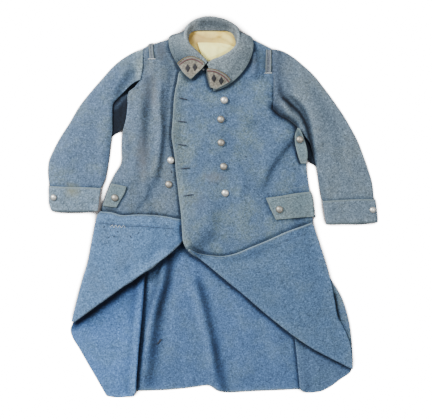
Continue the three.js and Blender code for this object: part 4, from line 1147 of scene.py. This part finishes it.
hook = [sweep(on_cloth((-29, 440, -24, 446, -19, 453, -15, 459), 1.3, 1.0), 3.0, 2.4, 8)]
ties = []
for eye in ((-30, 437), (-14, 461)):
    a = np.linspace(0, 1.85 * np.pi, 16)
    loop = eye + EYE_RADIUS * np.column_stack([np.cos(a), np.sin(a)])
    hook.append(sweep(on_cloth(loop, 1.0, 1.0), 1.5, 1.4))
    for turn in (0.4, 1.5, 2.6):
        arm = TIE_HALF * np.array([math.cos(turn), math.sin(turn)])
        ties.append(sweep(on_cloth([eye - arm, eye + arm], 1.6, 1.0), 1.0, 0.9))
join_parts("metal_hook", hook)
join_parts("thread_hook", ties)

# %% [markdown]
# Hollows and ridges of the whole coat
#
# Shade is painted into the cloth where one layer meets another and in the bottom of creases, and a
# painted highlight on the tops of creases. The finished height map tells where that is: a point well
# below its surroundings is darkened, a point above them is lightened. Named paths add painted deep
# shadows and painted highlights on ridges, as the photograph shows them. The result is one number of
# painted shade and highlight for each point of each cloth, which the wool material multiplies in.

# %% Where shade or highlight is painted, piece by piece
around = neighbours(neighbours(ground, 6, highest), 3, average)
plain = neighbours(neighbours(ground, 22, average), 12, average)
FOLD_RIGHT = (-36, -54, -141, -159, -294, -270, -440, -376)
FOLD_LEFT = (-70, -140, 59, -251, 262, -412, 430, -510)
# Each row holds a path, its half width and the share of painted shade, or painted highlight if negative
SHADES = {
    "cloth_back": [
        ((-139, -159, -149, -239, -167, -293, -180, -420, -203, -560), 19, 0.50),
        ((-137, -150, -145, -215, -156, -270, -172, -340), 13, 0.50),
        ((-49, -238, -22, -303, -5, -380, 12, -469, 38, -585), 16, 0.44),
        ((5, -440, 20, -510, 38, -585), 14, 0.36),
        ((-168, -176, -186, -293, -214, -442, -232, -578), 10, -0.14),
        ((-105, -200, -112, -330, -118, -450), 30, -0.10),
        ((-74, -250, -42, -361, -19, -442, 3, -578), 12, -0.14), (FOLD_RIGHT, 16, 0.46),
        ((-203, -240, -210, -330, -216, -400), 9, -0.40), (FOLD_LEFT, 10, 0.45),
        ((-211, -211, -222, -283, -232, -400, -244, -575), 6, 0.85),
    ],
    "cloth_side_right": [
        (FOLD_RIGHT, 15, 0.86), ((-200, -205, -294, -285, -380, -350), 46, 0.45),
        ((-245, -240, -252, -300, -262, -360), 16, 0.22),
        ((-214, -215, -222, -283, -232, -400, -244, -575), 5, 0.72),
    ],
    "cloth_side_left": [(FOLD_LEFT, 9, 0.45)],
    "cloth_front_right": [
        ((-139, 423, -150, 321, -157, 236, -174, 126, -208, 40, -234, 0), 9, 0.45),
        ((-205, 412, -206, 350, -212, 295), 14, 0.38), ((-205, 391, -234, 167, -243, 7), 22, 0.22),
        ((-186, 400, -192, 300, -206, 190, -232, 60), 9, -0.12),
        ((-228, 505, -227, 450, -230, 410), 9, -0.22), ((-172, 518, -158, 480, -139, 440), 17, 0.36),
        ((-104, -64, -101, -98, -139, -132), 9, 0.42),
        ((-362, -49, -323, -54, -278, -60, -234, -60, -180, -64, -122, -68), 4.0, 0.34),
        ((-356, -30, -323, -34, -278, -40, -234, -40, -180, -44, -122, -52), 11, -0.10),
    ],
    "cloth_front_left": [
        ((190, 322, 198, 306, 215, 293, 244, 279, 266, 258), 11, 0.85),
        ((269, 254, 218, 196, 176, 132, 157, 55), 13, 0.26), ((176, 353, 144, 305, 118, 263), 14, 0.22),
        ((144, 494, 150, 462, 146, 425), 13, 0.42), ((266, 174, 270, 154, 277, 138), 5, 0.90),
        ((389, -278, 396, -320, 402, -355), 6, 0.9), ((210, 250, 165, 190, 140, 120), 14, -0.10),
        ((150, 420, 110, 330, 90, 270), 22, -0.06), ((130, 300, 190, 262, 240, 235), 18, -0.08),
        ((40, -150, 90, -138, 180, -100, 300, -48), 8, -0.35), ((190, 500, 192, 420, 193, 370), 9, -0.12),
        ((79, 390, 114, 407, 166, 426), 15, 0.12), ((79, 184, 83, 141, 101, 90, 88, 30), 6, 0.18),
        ((60, 330, 90, 280, 130, 250), 12, 0.12), ((20, 240, 60, 200, 120, 190), 14, 0.08),
        ((110, 330, 150, 300, 170, 282), 9, -0.12), ((40, -168, 90, -160, 144, -138, 190, -120), 11, 0.24),
    ],
    "cloth_sleeve_top_left": [
        ((222, 347, 236, 337, 255, 321, 280, 295, 296, 262, 306, 226, 316, 186, 322, 140), 9, 0.94),
        ((192, 318, 200, 306, 217, 293, 245, 281, 266, 262), 11, 0.85),
        ((214, 346, 242, 318, 270, 288, 290, 250), 8, -0.30), ((300, 340, 330, 270, 345, 190), 16, -0.08),
        ((340, 100, 352, 40, 358, 0), 9, 0.25), ((372, 300, 388, 220, 400, 140), 14, 0.12),
    ],
    "cloth_collar": [
        ((-112, 520, -102, 470, -78, 430), 36, 0.14), ((108, 505, 80, 450, 30, 412), 36, -0.14),
        ((-36, 580, -16, 583, 19, 581, 40, 574), 14, 0.46), ((-80, 538, -74, 566, -58, 584), 12, -0.35),
    ],
    "lining_back_cloth": [
        ((-50, 522, -45, 506, -37, 488), 3.5, 0.60), ((14, 545, 45, 529, 74, 508), 3.5, 0.32),
        ((36, 562, 60, 546, 78, 530), 4.5, 0.30), ((-84, 522, -74, 540, -62, 553), 8, 0.50),
        ((-60, 556, -30, 541, 0, 536, 28, 546), 3.5, 0.25),
    ],
    "lining_yoke_cloth": [((30, 512, 56, 504, 84, 492), 3, 0.15), ((-20, 505, -8, 480, 0, 455), 4, 0.06)],
    "cloth_sleeve_top_right": [
        ((-268, 428, -290, 398, -310, 362), 15, 0.42),
        ((-321, 335, -325, 260, -334, 190, -352, 77), 8, 0.38),
        ((-248, 402, -285, 372, -318, 335), 7, 0.30), ((-405, 300, -425, 200, -430, 130), 26, 0.08),
        ((-228, 505, -227, 450, -232, 412), 9, -0.22),
    ],
}
# Under the armpits the cloth is painted nearly black as shade, and these paths paint a little light back in
UNDERARM = {
    "cloth_sleeve_under_right": [((-268, 364, -290, 343, -310, 318), 6, 0.35)],
    "cloth_sleeve_under_left": [((296, 190, 318, 152, 330, 136), 7, 0.08)],
}
UNDERARM_SHADE = 0.08


def path_mask(path, wide, x, y):
    return np.exp(-(nearest_on(path, 3, x, y)[0] / wide) ** 2)


# %% Painted shade and highlight of each point
LEAST_DROP = 1.6
FULL_DROP = 6.0
LINING_SHARE = 0.4
STEP_SHADE = 0.50
HOLLOW_SHADE = 0.26
RIDGE_LIGHT = 0.20
FULL_HOLLOW = 5
FULL_RIDGE = 6


def painted_light_of(name, x, y, z, stand):
    if name in UNDERARM:
        light = [amount * path_mask(path, wide, x, y) for path, wide, amount in UNDERARM[name]]
        return UNDERARM_SHADE + sum(light)
    # step paints a contact shadow beside a higher layer, hollow paints shade in creases, ridge paints a
    # highlight on crease tops
    step = np.clip((read_map(around, x, y) - z - LEAST_DROP) / FULL_DROP, 0, 1) * (1 - stand)
    relief = (read_map(plain, x, y) - z) * (1 - stand)
    if name.startswith("lining_"):
        step, relief = LINING_SHARE * step, 0 * relief
    hollow, ridge = np.clip(relief / FULL_HOLLOW, 0, 1), np.clip(-relief / FULL_RIDGE, 0, 1)
    painted_light = 1 - STEP_SHADE * step - HOLLOW_SHADE * hollow + RIDGE_LIGHT * ridge
    for path, wide, amount in SHADES.get(name, ()):
        painted_light = painted_light * (1 - amount * path_mask(path, wide, x, y))
    return painted_light


for name, piece in pieces.items():
    if name.startswith(("cloth_", "lining_")):
        count = len(piece.data.vertices)
        at, stand = np.zeros(count * 3, np.float32), np.zeros(count, np.float32)
        piece.data.vertices.foreach_get("co", at)
        if name == "cloth_collar":
            piece.data.attributes["stand"].data.foreach_get("value", stand)
        x, y, z = at.reshape(-1, 3).T.astype(float) * 1000
        painted_light = painted_light_of(name, x, y, z, stand.astype(float))
        layer = piece.data.attributes.new("painted_light", "FLOAT", "POINT")
        layer.data.foreach_set("value", painted_light.astype(np.float32))
        print(name, "tone from", round(float(painted_light.min()), 2), "to", round(float(painted_light.max()), 2))

# %% [markdown]
# Wool that is more than one colour
#
# Horizon blue wool was spun from blue, white and a few dark fibres together, so a close look shows
# specks of all three, and use has left broader cloudy tones. One node group makes these for each
# panel, and the panels differ only in the colours and amounts given to it.

# %% Node helpers
CHANNELS = ("Red", "Green", "Blue")


def fill(made, inputs):
    """Sets each input to its value, or links it to the output that is given for it."""
    for key, value in inputs.items():
        if isinstance(value, bpy.types.NodeSocket):
            made.id_data.links.new(value, made.inputs[key])
        else:
            made.inputs[key].default_value = value
    return made.outputs


def node(tree, kind, inputs, **settings):
    made = tree.nodes.new(kind)
    for key, value in settings.items():
        setattr(made, key, value)
    return fill(made, inputs)


def new_group(name, inputs, outputs):
    group = bpy.data.node_groups.new(name, "ShaderNodeTree")
    for label, kind, value in inputs:
        socket = group.interface.new_socket(label, in_out="INPUT", socket_type="NodeSocket" + kind)
        socket.default_value = value
    for label, kind in outputs:
        group.interface.new_socket(label, in_out="OUTPUT", socket_type="NodeSocket" + kind)
    return group, node(group, "NodeGroupInput", {}), group.nodes.new("NodeGroupOutput")


def tree_of(*values):
    return next(v.id_data for v in values if isinstance(v, bpy.types.NodeSocket))


def maths(operation, a, b=0.5):
    return node(tree_of(a, b), "ShaderNodeMath", {0: a, 1: b}, operation=operation)[0]


def times(a, b):
    return maths("MULTIPLY", a, b)


def plus(a, b):
    return maths("ADD", a, b)


def minus(a, b):
    return maths("SUBTRACT", a, b)


def mix(share, a, b, blend="MIX"):
    return node(tree_of(share, a, b), "ShaderNodeMix", {0: share, 6: a, 7: b}, data_type="RGBA",
                blend_type=blend)[2]


def tint_and_shade(colour, by):
    return mix(1.0, colour, by, "MULTIPLY")


def place_in(tree):
    return node(tree, "ShaderNodeTexCoord", {})["Object"]


def noise(where, scale, detail, rough):
    return node(where.id_data, "ShaderNodeTexNoise",
                {"Vector": where, "Scale": scale, "Detail": detail, "Roughness": rough})["Fac"]


def spread(value, low, high):
    return node(value.id_data, "ShaderNodeMapRange", {"Value": value, "From Min": low, "From Max": high},
                interpolation_type="SMOOTHSTEP")["Result"]


def mapped(value, low, high, to_low, to_high):
    return node(value.id_data, "ShaderNodeMapRange", {
        "Value": value, "From Min": low, "From Max": high, "To Min": to_low, "To Max": to_high})["Result"]


def waves(where, direction, **inputs):
    return node(where.id_data, "ShaderNodeTexWave", {"Vector": where, **inputs},
                bands_direction=direction)["Fac"]


def channels(tree, values):
    return node(tree, "ShaderNodeCombineColor", dict(zip(CHANNELS, values)))["Color"]


# %% Group for milled wool
milled_wool, given, result = new_group("milled_wool", [
    ("Cloth", "Color", (0.2, 0.27, 0.35, 1)), ("Light Fibre", "Color", (0.4, 0.46, 0.5, 1)),
    ("Dark Fibre", "Color", (0.08, 0.12, 0.18, 1)), ("Cloudy Tone", "Color", (0.2, 0.24, 0.27, 1)),
    ("Cloudiness", "Float", 0.5), ("Fleck", "Float", 0.6),
], [("Color", "Color"), ("Height", "Float")])
where = place_in(milled_wool)
clouds = times(spread(noise(where, 14, 4, 0.6), 0.4, 0.66), given["Cloudiness"])
colour = mix(clouds, given["Cloth"], given["Cloudy Tone"])
light = times(spread(noise(where, 150, 3, 0.7), 0.48, 0.7), given["Fleck"])
colour = mix(light, colour, given["Light Fibre"])
dark = times(spread(noise(where, 110, 4, 0.7), 0.5, 0.72), given["Fleck"])
colour = mix(dark, colour, given["Dark Fibre"])
grain = mapped(noise(where, 240, 3, 0.65), 0.33, 0.67, 0.56, 1.46)
colour = tint_and_shade(colour, channels(milled_wool, (grain, grain, grain)))
fibre, nap = noise(where, 1500, 2, 0.6), noise(where, 420, 3, 0.6)
twill = waves(where, "DIAGONAL", **{"Scale": 190, "Distortion": 2.5, "Detail": 2.0, "Detail Scale": 3.0})
height = plus(times(fibre, 0.5), plus(times(nap, 0.9), times(twill, 0.25)))
fill(result, {"Color": colour, "Height": height})

# %% [markdown]
# Wear and stains
#
# Edges rub first: along a finished edge the nap is gone and the cloth looks paler and a little green.
# Stains are soft patches whose border is broken by noise. Both are masks, so they sit in groups of
# their own that any material can use with its own sizes.

# %% Groups for wear and for a stain
edge_wear, given, result = new_group("edge_wear", [
    ("Distance", "Float", INSIDE), ("Reach", "Float", 6.0), ("Broken", "Float", 0.5)], [("Mask", "Float")])
close = minus(1.0, maths("DIVIDE", given["Distance"], given["Reach"]))
patchy = times(noise(place_in(edge_wear), 60, 3, 0.6), given["Broken"])
fill(result, {"Mask": spread(minus(close, patchy), -0.15, 0.55)})

soft_stain, given, result = new_group("soft_stain", [
    ("Centre", "Vector", (0, 0, 0)), ("Wide", "Float", 0.05), ("Long", "Float", 0.05)], [("Mask", "Float")])
where = place_in(soft_stain)
away = node(soft_stain, "ShaderNodeVectorMath", {0: where, 1: given["Centre"]}, operation="SUBTRACT")[0]
axes = node(soft_stain, "ShaderNodeSeparateXYZ", {"Vector": away})
sx, sy = maths("DIVIDE", axes["X"], given["Wide"]), maths("DIVIDE", axes["Y"], given["Long"])
radius = maths("SQRT", plus(times(sx, sx), times(sy, sy)))
ragged = plus(radius, times(noise(where, 38, 4, 0.6), 1.1))
fill(result, {"Mask": spread(ragged, 1.75, 0.65)})


# %% A material for wool
RUBBED = (134, 150, 148)
BRIGHT = 0.665
WHITE = (1, 1, 1, 1)
PLACKET_WIDE = 100.0
WOOL_SHADE = (1.14, 1.0, 0.86)
WEAR_REACH = 9.0
# The stand tint is painted shade on the inner face of the collar's stand.
TINT_SHARES = {"stand": 0.85, "cap": 0.85, "placket": 0.6}


def srgb(r, g, b):
    def linear(c):
        c = c / 255
        return c / 12.92 if c <= 0.04045 else ((c + 0.055) / 1.055) ** 2.4
    return (linear(r), linear(g), linear(b), 1.0)


def scaled(colour, by):
    return tuple(min(1.0, c * by) for c in colour[:3]) + (1.0,)


def between_colours(a, b, share):
    return tuple(p * (1 - share) + q * share for p, q in zip(a, b))


def new_material(name):
    made = bpy.data.materials.new(name)
    made.use_nodes = True
    return made, made.node_tree


def finish(material, colour, height, strength, distance, values):
    """Joins colour and relief to the material's own shader."""
    tree = material.node_tree
    bump = node(tree, "ShaderNodeBump", {"Height": height, "Strength": strength, "Distance": distance})
    fill(tree.nodes["Principled BSDF"], {"Base Color": colour, "Normal": bump["Normal"], **values})
    return material


def attribute(tree, name):
    return node(tree, "ShaderNodeAttribute", {}, attribute_name=name)["Fac"]


def stored_painted_light(tree, powers):
    """The painted shade and highlight kept in the mesh, to a power of its own in each channel."""
    painted_light = attribute(tree, "painted_light")
    return channels(tree, [maths("POWER", painted_light, power) for power in powers])


def milled(tree, cloth, cloudy, cloudiness, fleck):
    return node(tree, "ShaderNodeGroup", {
        "Cloth": cloth, "Cloudy Tone": cloudy, "Cloudiness": cloudiness, "Fleck": fleck,
        "Light Fibre": scaled(cloth, 1.8), "Dark Fibre": scaled(cloth, 0.42)}, node_tree=milled_wool)


def rubbed_mask(tree, reach, broken):
    return node(tree, "ShaderNodeGroup", {"Distance": attribute(tree, "edge"), "Reach": reach,
                                          "Broken": broken}, node_tree=edge_wear)["Mask"]


def stain_mask(tree, x, y, wide, long):
    return node(tree, "ShaderNodeGroup", {"Centre": (x, y, 0), "Wide": wide, "Long": long},
                node_tree=soft_stain)["Mask"]


def wool(name, cloth, cloudy, cloudiness, stains, fleck, wear, corner=None, **tints):
    material, tree = new_material(name)
    made = milled(tree, cloth, cloudy, cloudiness, fleck)
    colour = made["Color"]
    for key, tint in tints.items():
        mask = rubbed_mask(tree, PLACKET_WIDE, 0.9) if key == "placket" else attribute(tree, key)
        ratio = tuple(t / c for t, c in zip(tint, cloth))
        colour = tint_and_shade(colour, mix(times(mask, TINT_SHARES[key]), WHITE, ratio))
    if corner is not None:
        other = milled(tree, corner, between_colours(corner, cloudy, 0.35), cloudiness, fleck)
        colour = mix(attribute(tree, "corner"), colour, other["Color"])
    for x, y, wide, long, tint, strength in stains:
        colour = mix(times(stain_mask(tree, x, y, wide, long), strength), colour, srgb(*tint))
    worn = times(rubbed_mask(tree, WEAR_REACH, 0.6), wear)
    colour = mix(worn, colour, scaled(between_colours(cloth, srgb(*RUBBED), 0.6), BRIGHT))
    # The painted shade and highlight of the mesh multiply in last.
    colour = tint_and_shade(colour, stored_painted_light(tree, WOOL_SHADE))
    return finish(material, colour, made["Height"], 0.6, 0.0008, {
        "Roughness": 0.92, "Specular IOR Level": 0.2, "Sheen Weight": 0.08, "Sheen Roughness": 0.5})


# %% Wool colours, panel by panel
BROWN = (112, 110, 108)
GREEN_STAIN = (112, 114, 86)
materials = {}


def panel_wool(key, cloth, cloudy, cloudiness=0.5, stains=(), fleck=0.75, wear=0.6, **others):
    """A wool from colours of 0 to 255. A stain has its place, its size, its colour and its strength."""
    cloth, cloudy = (scaled(srgb(*c), BRIGHT) for c in (cloth, cloudy))
    others = {k: scaled(srgb(*v), BRIGHT) for k, v in others.items()}
    materials[key] = wool("wool_" + key, cloth, cloudy, cloudiness, stains, fleck, wear, **others)


panel_wool("back", (77, 107, 148), (92, 118, 140), 0.45)
panel_wool("side_right", (87, 125, 177), (94, 128, 160), wear=0.1)
panel_wool("side_left", (78, 104, 137), (84, 112, 136), wear=0.1)
panel_wool("front_right", (92, 111, 132), (102, 114, 118), 0.65, [
    (-0.224, 0.165, 0.024, 0.09, (104, 104, 106), 0.52), (-0.20, 0.37, 0.03, 0.08, BROWN, 0.3),
    # The first stain on the next line is painted shade on the shoulder beside the collar.
    (-0.166, 0.50, 0.022, 0.04, (92, 94, 98), 0.5), (-0.448, 0.058, 0.03, 0.03, BROWN, 0.3),
], corner=(86, 119, 157))
panel_wool("front_left", (80, 104, 132), (108, 127, 130), 0.6, [
    (0.005, 0.095, 0.05, 0.022, (98, 98, 100), 0.34), (-0.05, 0.02, 0.05, 0.05, BROWN, 0.10),
    # The first stain on the next line is painted shade of the folds beside the shoulder loop.
    (0.13, 0.46, 0.018, 0.05, (58, 60, 72), 0.4), (0.26, -0.01, 0.06, 0.03, BROWN, 0.25),
], corner=(76, 104, 137), placket=(110, 129, 138))
panel_wool("sleeve_right", (88, 110, 136), (106, 124, 130), 0.6,
           [(-0.45, 0.06, 0.03, 0.02, GREEN_STAIN, 0.5)], cap=(102, 121, 136))
panel_wool("cuff_right", (104, 124, 142), (114, 130, 138), 0.6, [(-0.45, 0.05, 0.03, 0.02, GREEN_STAIN, 0.5)])
panel_wool("sleeve_left", (98, 115, 130), (110, 122, 126), 0.55, cap=(68, 85, 108))
panel_wool("under", (70, 86, 104), (64, 76, 92), 0.4)
# The stand colour is painted shade on the inner face of the stand.
panel_wool("collar", (112, 126, 134), (112, 124, 128), 0.55, stand=(104, 112, 116))
panel_wool("trim", (101, 121, 130), (108, 119, 120))
panel_wool("patch", (128, 124, 112), (114, 110, 99), fleck=0.6)
panel_wool("loop", (95, 101, 111), (102, 110, 121), 0.4)

# %% [markdown]
# Lining, braid, thread and metal
#
# The lining is a plain cotton weave, creamy and a bit yellowed. The braid and the threads are small,
# so a ribbed bump and a slight change of colour are enough. The buttons are dull white metal with
# spots of grime, and painted shade in the ring round the dome and on its underside.

# %% Lining
SCORCHED = (186, 156, 92)
LINING_SHADE = (0.8, 1.0, 1.3)


def lining(name, cloth, aged, browned):
    material, tree = new_material(name)
    where = place_in(tree)
    colour = mix(spread(noise(where, 30, 3, 0.6), 0.4, 0.7), srgb(*cloth), srgb(*aged))
    colour = mix(times(spread(attribute(tree, "edge"), 6.0, 2.0), 0.25), colour, srgb(*aged))
    colour = mix(times(stain_mask(tree, -0.045, 0.535, 0.075, 0.03), browned), colour, srgb(*SCORCHED))
    # The painted shade of the lining's creases multiplies in.
    colour = tint_and_shade(colour, stored_painted_light(tree, LINING_SHADE))
    weave = times(waves(where, "X", Scale=420), waves(where, "Y", Scale=420))
    return finish(material, colour, weave, 0.35, 0.0004, {"Roughness": 0.8, "Specular IOR Level": 0.3})


materials["lining_yoke"] = lining("cotton_yoke", (255, 250, 160), (252, 240, 140), 0.0)
materials["lining_back"] = lining("cotton_band", (236, 216, 126), (220, 190, 92), 0.9)


# %% Threads and braid
def thread(name, pale, aged, ribs):
    material, tree = new_material(name)
    where = place_in(tree)
    colour = mix(spread(noise(where, 120, 2, 0.5), 0.4, 0.65), srgb(*pale), srgb(*aged))
    return finish(material, colour, waves(where, "DIAGONAL", Scale=ribs, Distortion=1.0), 0.5, 0.0003,
                  {"Roughness": 0.75})


for key, name, pale, aged, ribs in (
        ("thread_edge", "thread_pale", (118, 132, 138), (98, 112, 122), 900),
        ("thread_tack", "thread_white", (184, 190, 194), (156, 164, 172), 900),
        ("thread_hole", "thread_blue_grey", (92, 108, 124), (78, 92, 110), 900),
        ("slit", "thread_slit_shadow", (22, 28, 42), (30, 38, 52), 900),
        ("thread_hem", "thread_dark_blue", (58, 72, 94), (72, 86, 106), 900),
        ("braid_outer", "braid_olive", (88, 78, 54), (80, 66, 48), 520),
        ("braid_inner", "braid_red", (84, 54, 50), (76, 54, 60), 520),
        ("lozenge", "felt_dark", (16, 16, 20), (24, 24, 30), 500)):
    materials[key] = thread(name, pale, aged, ribs)


# %% Metal
def worn_metal(name, bright, grime_and_shade, rough):
    material, tree = new_material(name)
    where = place_in(tree)
    spots_and_shade = spread(noise(where, 260, 4, 0.6), 0.5, 0.8)
    spots_and_shade = maths("MAXIMUM", spots_and_shade, times(attribute(tree, "grime_and_shade"), 0.9))
    pits = noise(where, 900, 3, 0.6)
    return finish(material, mix(spots_and_shade, srgb(*bright), srgb(*grime_and_shade)), pits, 0.25, 0.0003,
                  {"Roughness": mapped(pits, 0.3, 0.7, rough, rough + 0.25), "Metallic": 1.0})


materials["button"] = worn_metal("white_metal", (214, 214, 208), (84, 80, 74), 0.36)
materials["button_dull"] = worn_metal("white_metal_dull", (158, 154, 144), (66, 62, 56), 0.42)
materials["hook"] = worn_metal("japanned_wire", (40, 40, 44), (84, 78, 72), 0.45)
BRIGHT_BUTTONS = ("button_front_1", "button_under_1", "button_front_5", "button_cuff_right",
                  "button_cuff_left")

# %% [markdown]
# Give each piece its material and its body, and hide the solid it stands for
#
# The coat is one body, so every piece rides on it.
# A row of the table holds the solid, the material, the widest and longest of the cut in metres, its
# area, and the pieces that it lies on.

# %% Table of pieces
SHEETS = {
    "cloth_back": ("back", "back", 0.54, 1.16, 0.50, "cloth_collar"),
    "cloth_side_right": ("side_panel_right", "side_right", 0.24, 0.97, 0.125, "cloth_back"),
    "cloth_side_left": ("side_panel_left", "side_left", 0.19, 0.94, 0.105, "cloth_back"),
    "cloth_sleeve_under_right": ("sleeve_under_right", "under", 0.18, 0.52, 0.060, "cloth_back"),
    "cloth_sleeve_under_left": ("sleeve_under_left", "under", 0.18, 0.58, 0.070, "cloth_back"),
    "lining_back_cloth": ("lining_back", "lining_back", 0.18, 0.11, 0.0152, "cloth_back"),
    "lining_yoke_cloth": ("lining_yoke", "lining_yoke", 0.15, 0.10, 0.0095, "lining_back_cloth"),
    "cloth_front_right": ("front_right", "front_right", 0.45, 1.02, 0.27, "cloth_back", "cloth_side_right"),
    "cloth_front_left": ("front_left", "front_left", 0.62, 1.08, 0.43, "cloth_front_right", "cloth_back",
                         "cloth_side_left"),
    "cloth_sleeve_top_right": ("sleeve_top_right", "sleeve_right", 0.20, 0.56, 0.070,
                               "cloth_sleeve_under_right"),
    "cloth_sleeve_top_left": ("sleeve_top_left", "sleeve_left", 0.21, 0.62, 0.085,
                              "cloth_sleeve_under_left", "cloth_front_left"),
    "cloth_cuff_right": ("cuff_right", "cuff_right", 0.17, 0.08, 0.0125, "cloth_sleeve_top_right"),
    "cloth_cuff_left": ("cuff_left", "sleeve_left", 0.17, 0.08, 0.0125, "cloth_sleeve_top_left"),
    "cloth_flap_right": ("pocket_flap_right", "trim", 0.06, 0.08, 0.0036, "cloth_front_right"),
    "cloth_flap_left": ("pocket_flap_left", "trim", 0.15, 0.08, 0.0105, "cloth_front_left"),
    "cloth_tab": ("belt_tab", "trim", 0.035, 0.12, 0.0031, "cloth_front_left"),
    "cloth_loop_right": ("shoulder_loop_right", "loop", 0.015, 0.05, 0.00072, "cloth_front_right"),
    "cloth_loop_left": ("shoulder_loop_left", "loop", 0.018, 0.072, 0.00128, "cloth_front_left"),
    "cloth_collar": ("collar", "collar", 0.60, 0.09, 0.052, "cloth_front_right", "cloth_front_left"),
    "cloth_patch_right": ("collar_patch_right", "patch", 0.09, 0.07, 0.0037, "cloth_collar"),
    "cloth_patch_left": ("collar_patch_left", "patch", 0.08, 0.06, 0.0035, "cloth_collar"),
}
THINGS = {
    "braid_outer": ("patch", "braid_outer"), "braid_inner": ("patch", "braid_inner"),
    "patch_lozenges": ("patch", "lozenge"), "buttonhole_slits": ("wool", "slit"),
    "buttonhole_thread": ("wool", "thread_hole"), "thread_edges": ("wool", "thread_edge"),
    "thread_bar_tacks": ("wool", "thread_tack"), "thread_hem": ("wool", "thread_hem"),
    "thread_darn": ("wool", "thread_tack"), "moth_holes": ("wool", "slit"),
    "thread_hook": ("wool", "thread_tack"),
}


def attach(name, slot, material, *nodes):
    piece = pieces[name]
    piece.data.materials.append(materials[material])
    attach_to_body(piece, "root")
    if nodes:
        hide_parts(*nodes)


for name, (cad, material, wide, long, area, *rests) in SHEETS.items():
    slot = "lining" if name.startswith("lining_") else "patch" if material == "patch" else "wool"
    attach(name, slot, material, cad)
for name, (slot, material) in THINGS.items():
    attach(name, slot, material)
attach("metal_hook", "hook", "hook", "collar_hook")
for name in BUTTONS:
    attach("metal_" + name, "button", "button" if name in BRIGHT_BUTTONS else "button_dull", name)
print(len(pieces), "pieces")

# %% [markdown]
# Floor, light and camera
# The coat was photographed from straight above on a white table. A large soft light stands at the
# upper left, so each crease is bright on its left side and falls into shade on its right. A weak
# fill comes from the other side. The camera alone sees the floor shine: it is white in the open, and
# a painted shadow makes it greyer only within a few centimetres of the cloth.

# %% Floor
FLOOR_HALF = 4
FLOOR_DROP = 0.0006
AO_REACH = 0.045
FLOOR_GLOW = 18.0
floor_mesh = bpy.data.meshes.new("floor")
corners = [(x * FLOOR_HALF, y * FLOOR_HALF, 0) for x, y in ((-1, -1), (1, -1), (1, 1), (-1, 1))]
floor_mesh.from_pydata(corners, [], [(0, 1, 2, 3)])
floor = put("floor", floor_mesh)
floor.location.z = -FLOOR_DROP
floor_paint, tree = new_material("white_table")
# Painted shadow: ambient occlusion dims the glow near the cloth, where the dark base colour shows.
occlusion_for_painted_shadow = node(tree, "ShaderNodeAmbientOcclusion", {"Distance": AO_REACH})["AO"]
seen = node(tree, "ShaderNodeLightPath", {})["Is Camera Ray"]
fill(tree.nodes["Principled BSDF"], {
    "Base Color": (0.36, 0.33, 0.32, 1), "Roughness": 0.8, "Emission Color": WHITE,
    "Emission Strength": times(seen, mapped(occlusion_for_painted_shadow, 0.64, 0.88, 0.0, FLOOR_GLOW))})
floor.data.materials.append(floor_paint)


# %% Lights
def soft_light(name, place, size, power):
    data = bpy.data.lights.new(name, "AREA")
    data.shape = "DISK"
    data.size = size
    data.energy = power
    lamp = put(name, data)
    lamp.location = place
    lamp.rotation_euler = (-lamp.location).to_track_quat("-Z", "Y").to_euler()


soft_light("window_light", (-2.2, 1.4, 2.0), 1.0, 212)
soft_light("fill_light", (1.8, 0.4, 2.6), 1.6, 54)
world = bpy.data.worlds.new("studio")
bpy.context.scene.world = world
world.use_nodes = True
fill(world.node_tree.nodes["Background"], {"Color": (0.93, 0.96, 1.0, 1), "Strength": 0.72})

# %% Camera
camera_data = bpy.data.cameras.new("camera")
camera_data.sensor_width = 36
camera_data.lens = 67.7
camera = put("camera", camera_data)
camera.location = (0.0096, -0.007, 2.6)
bpy.context.scene.camera = camera
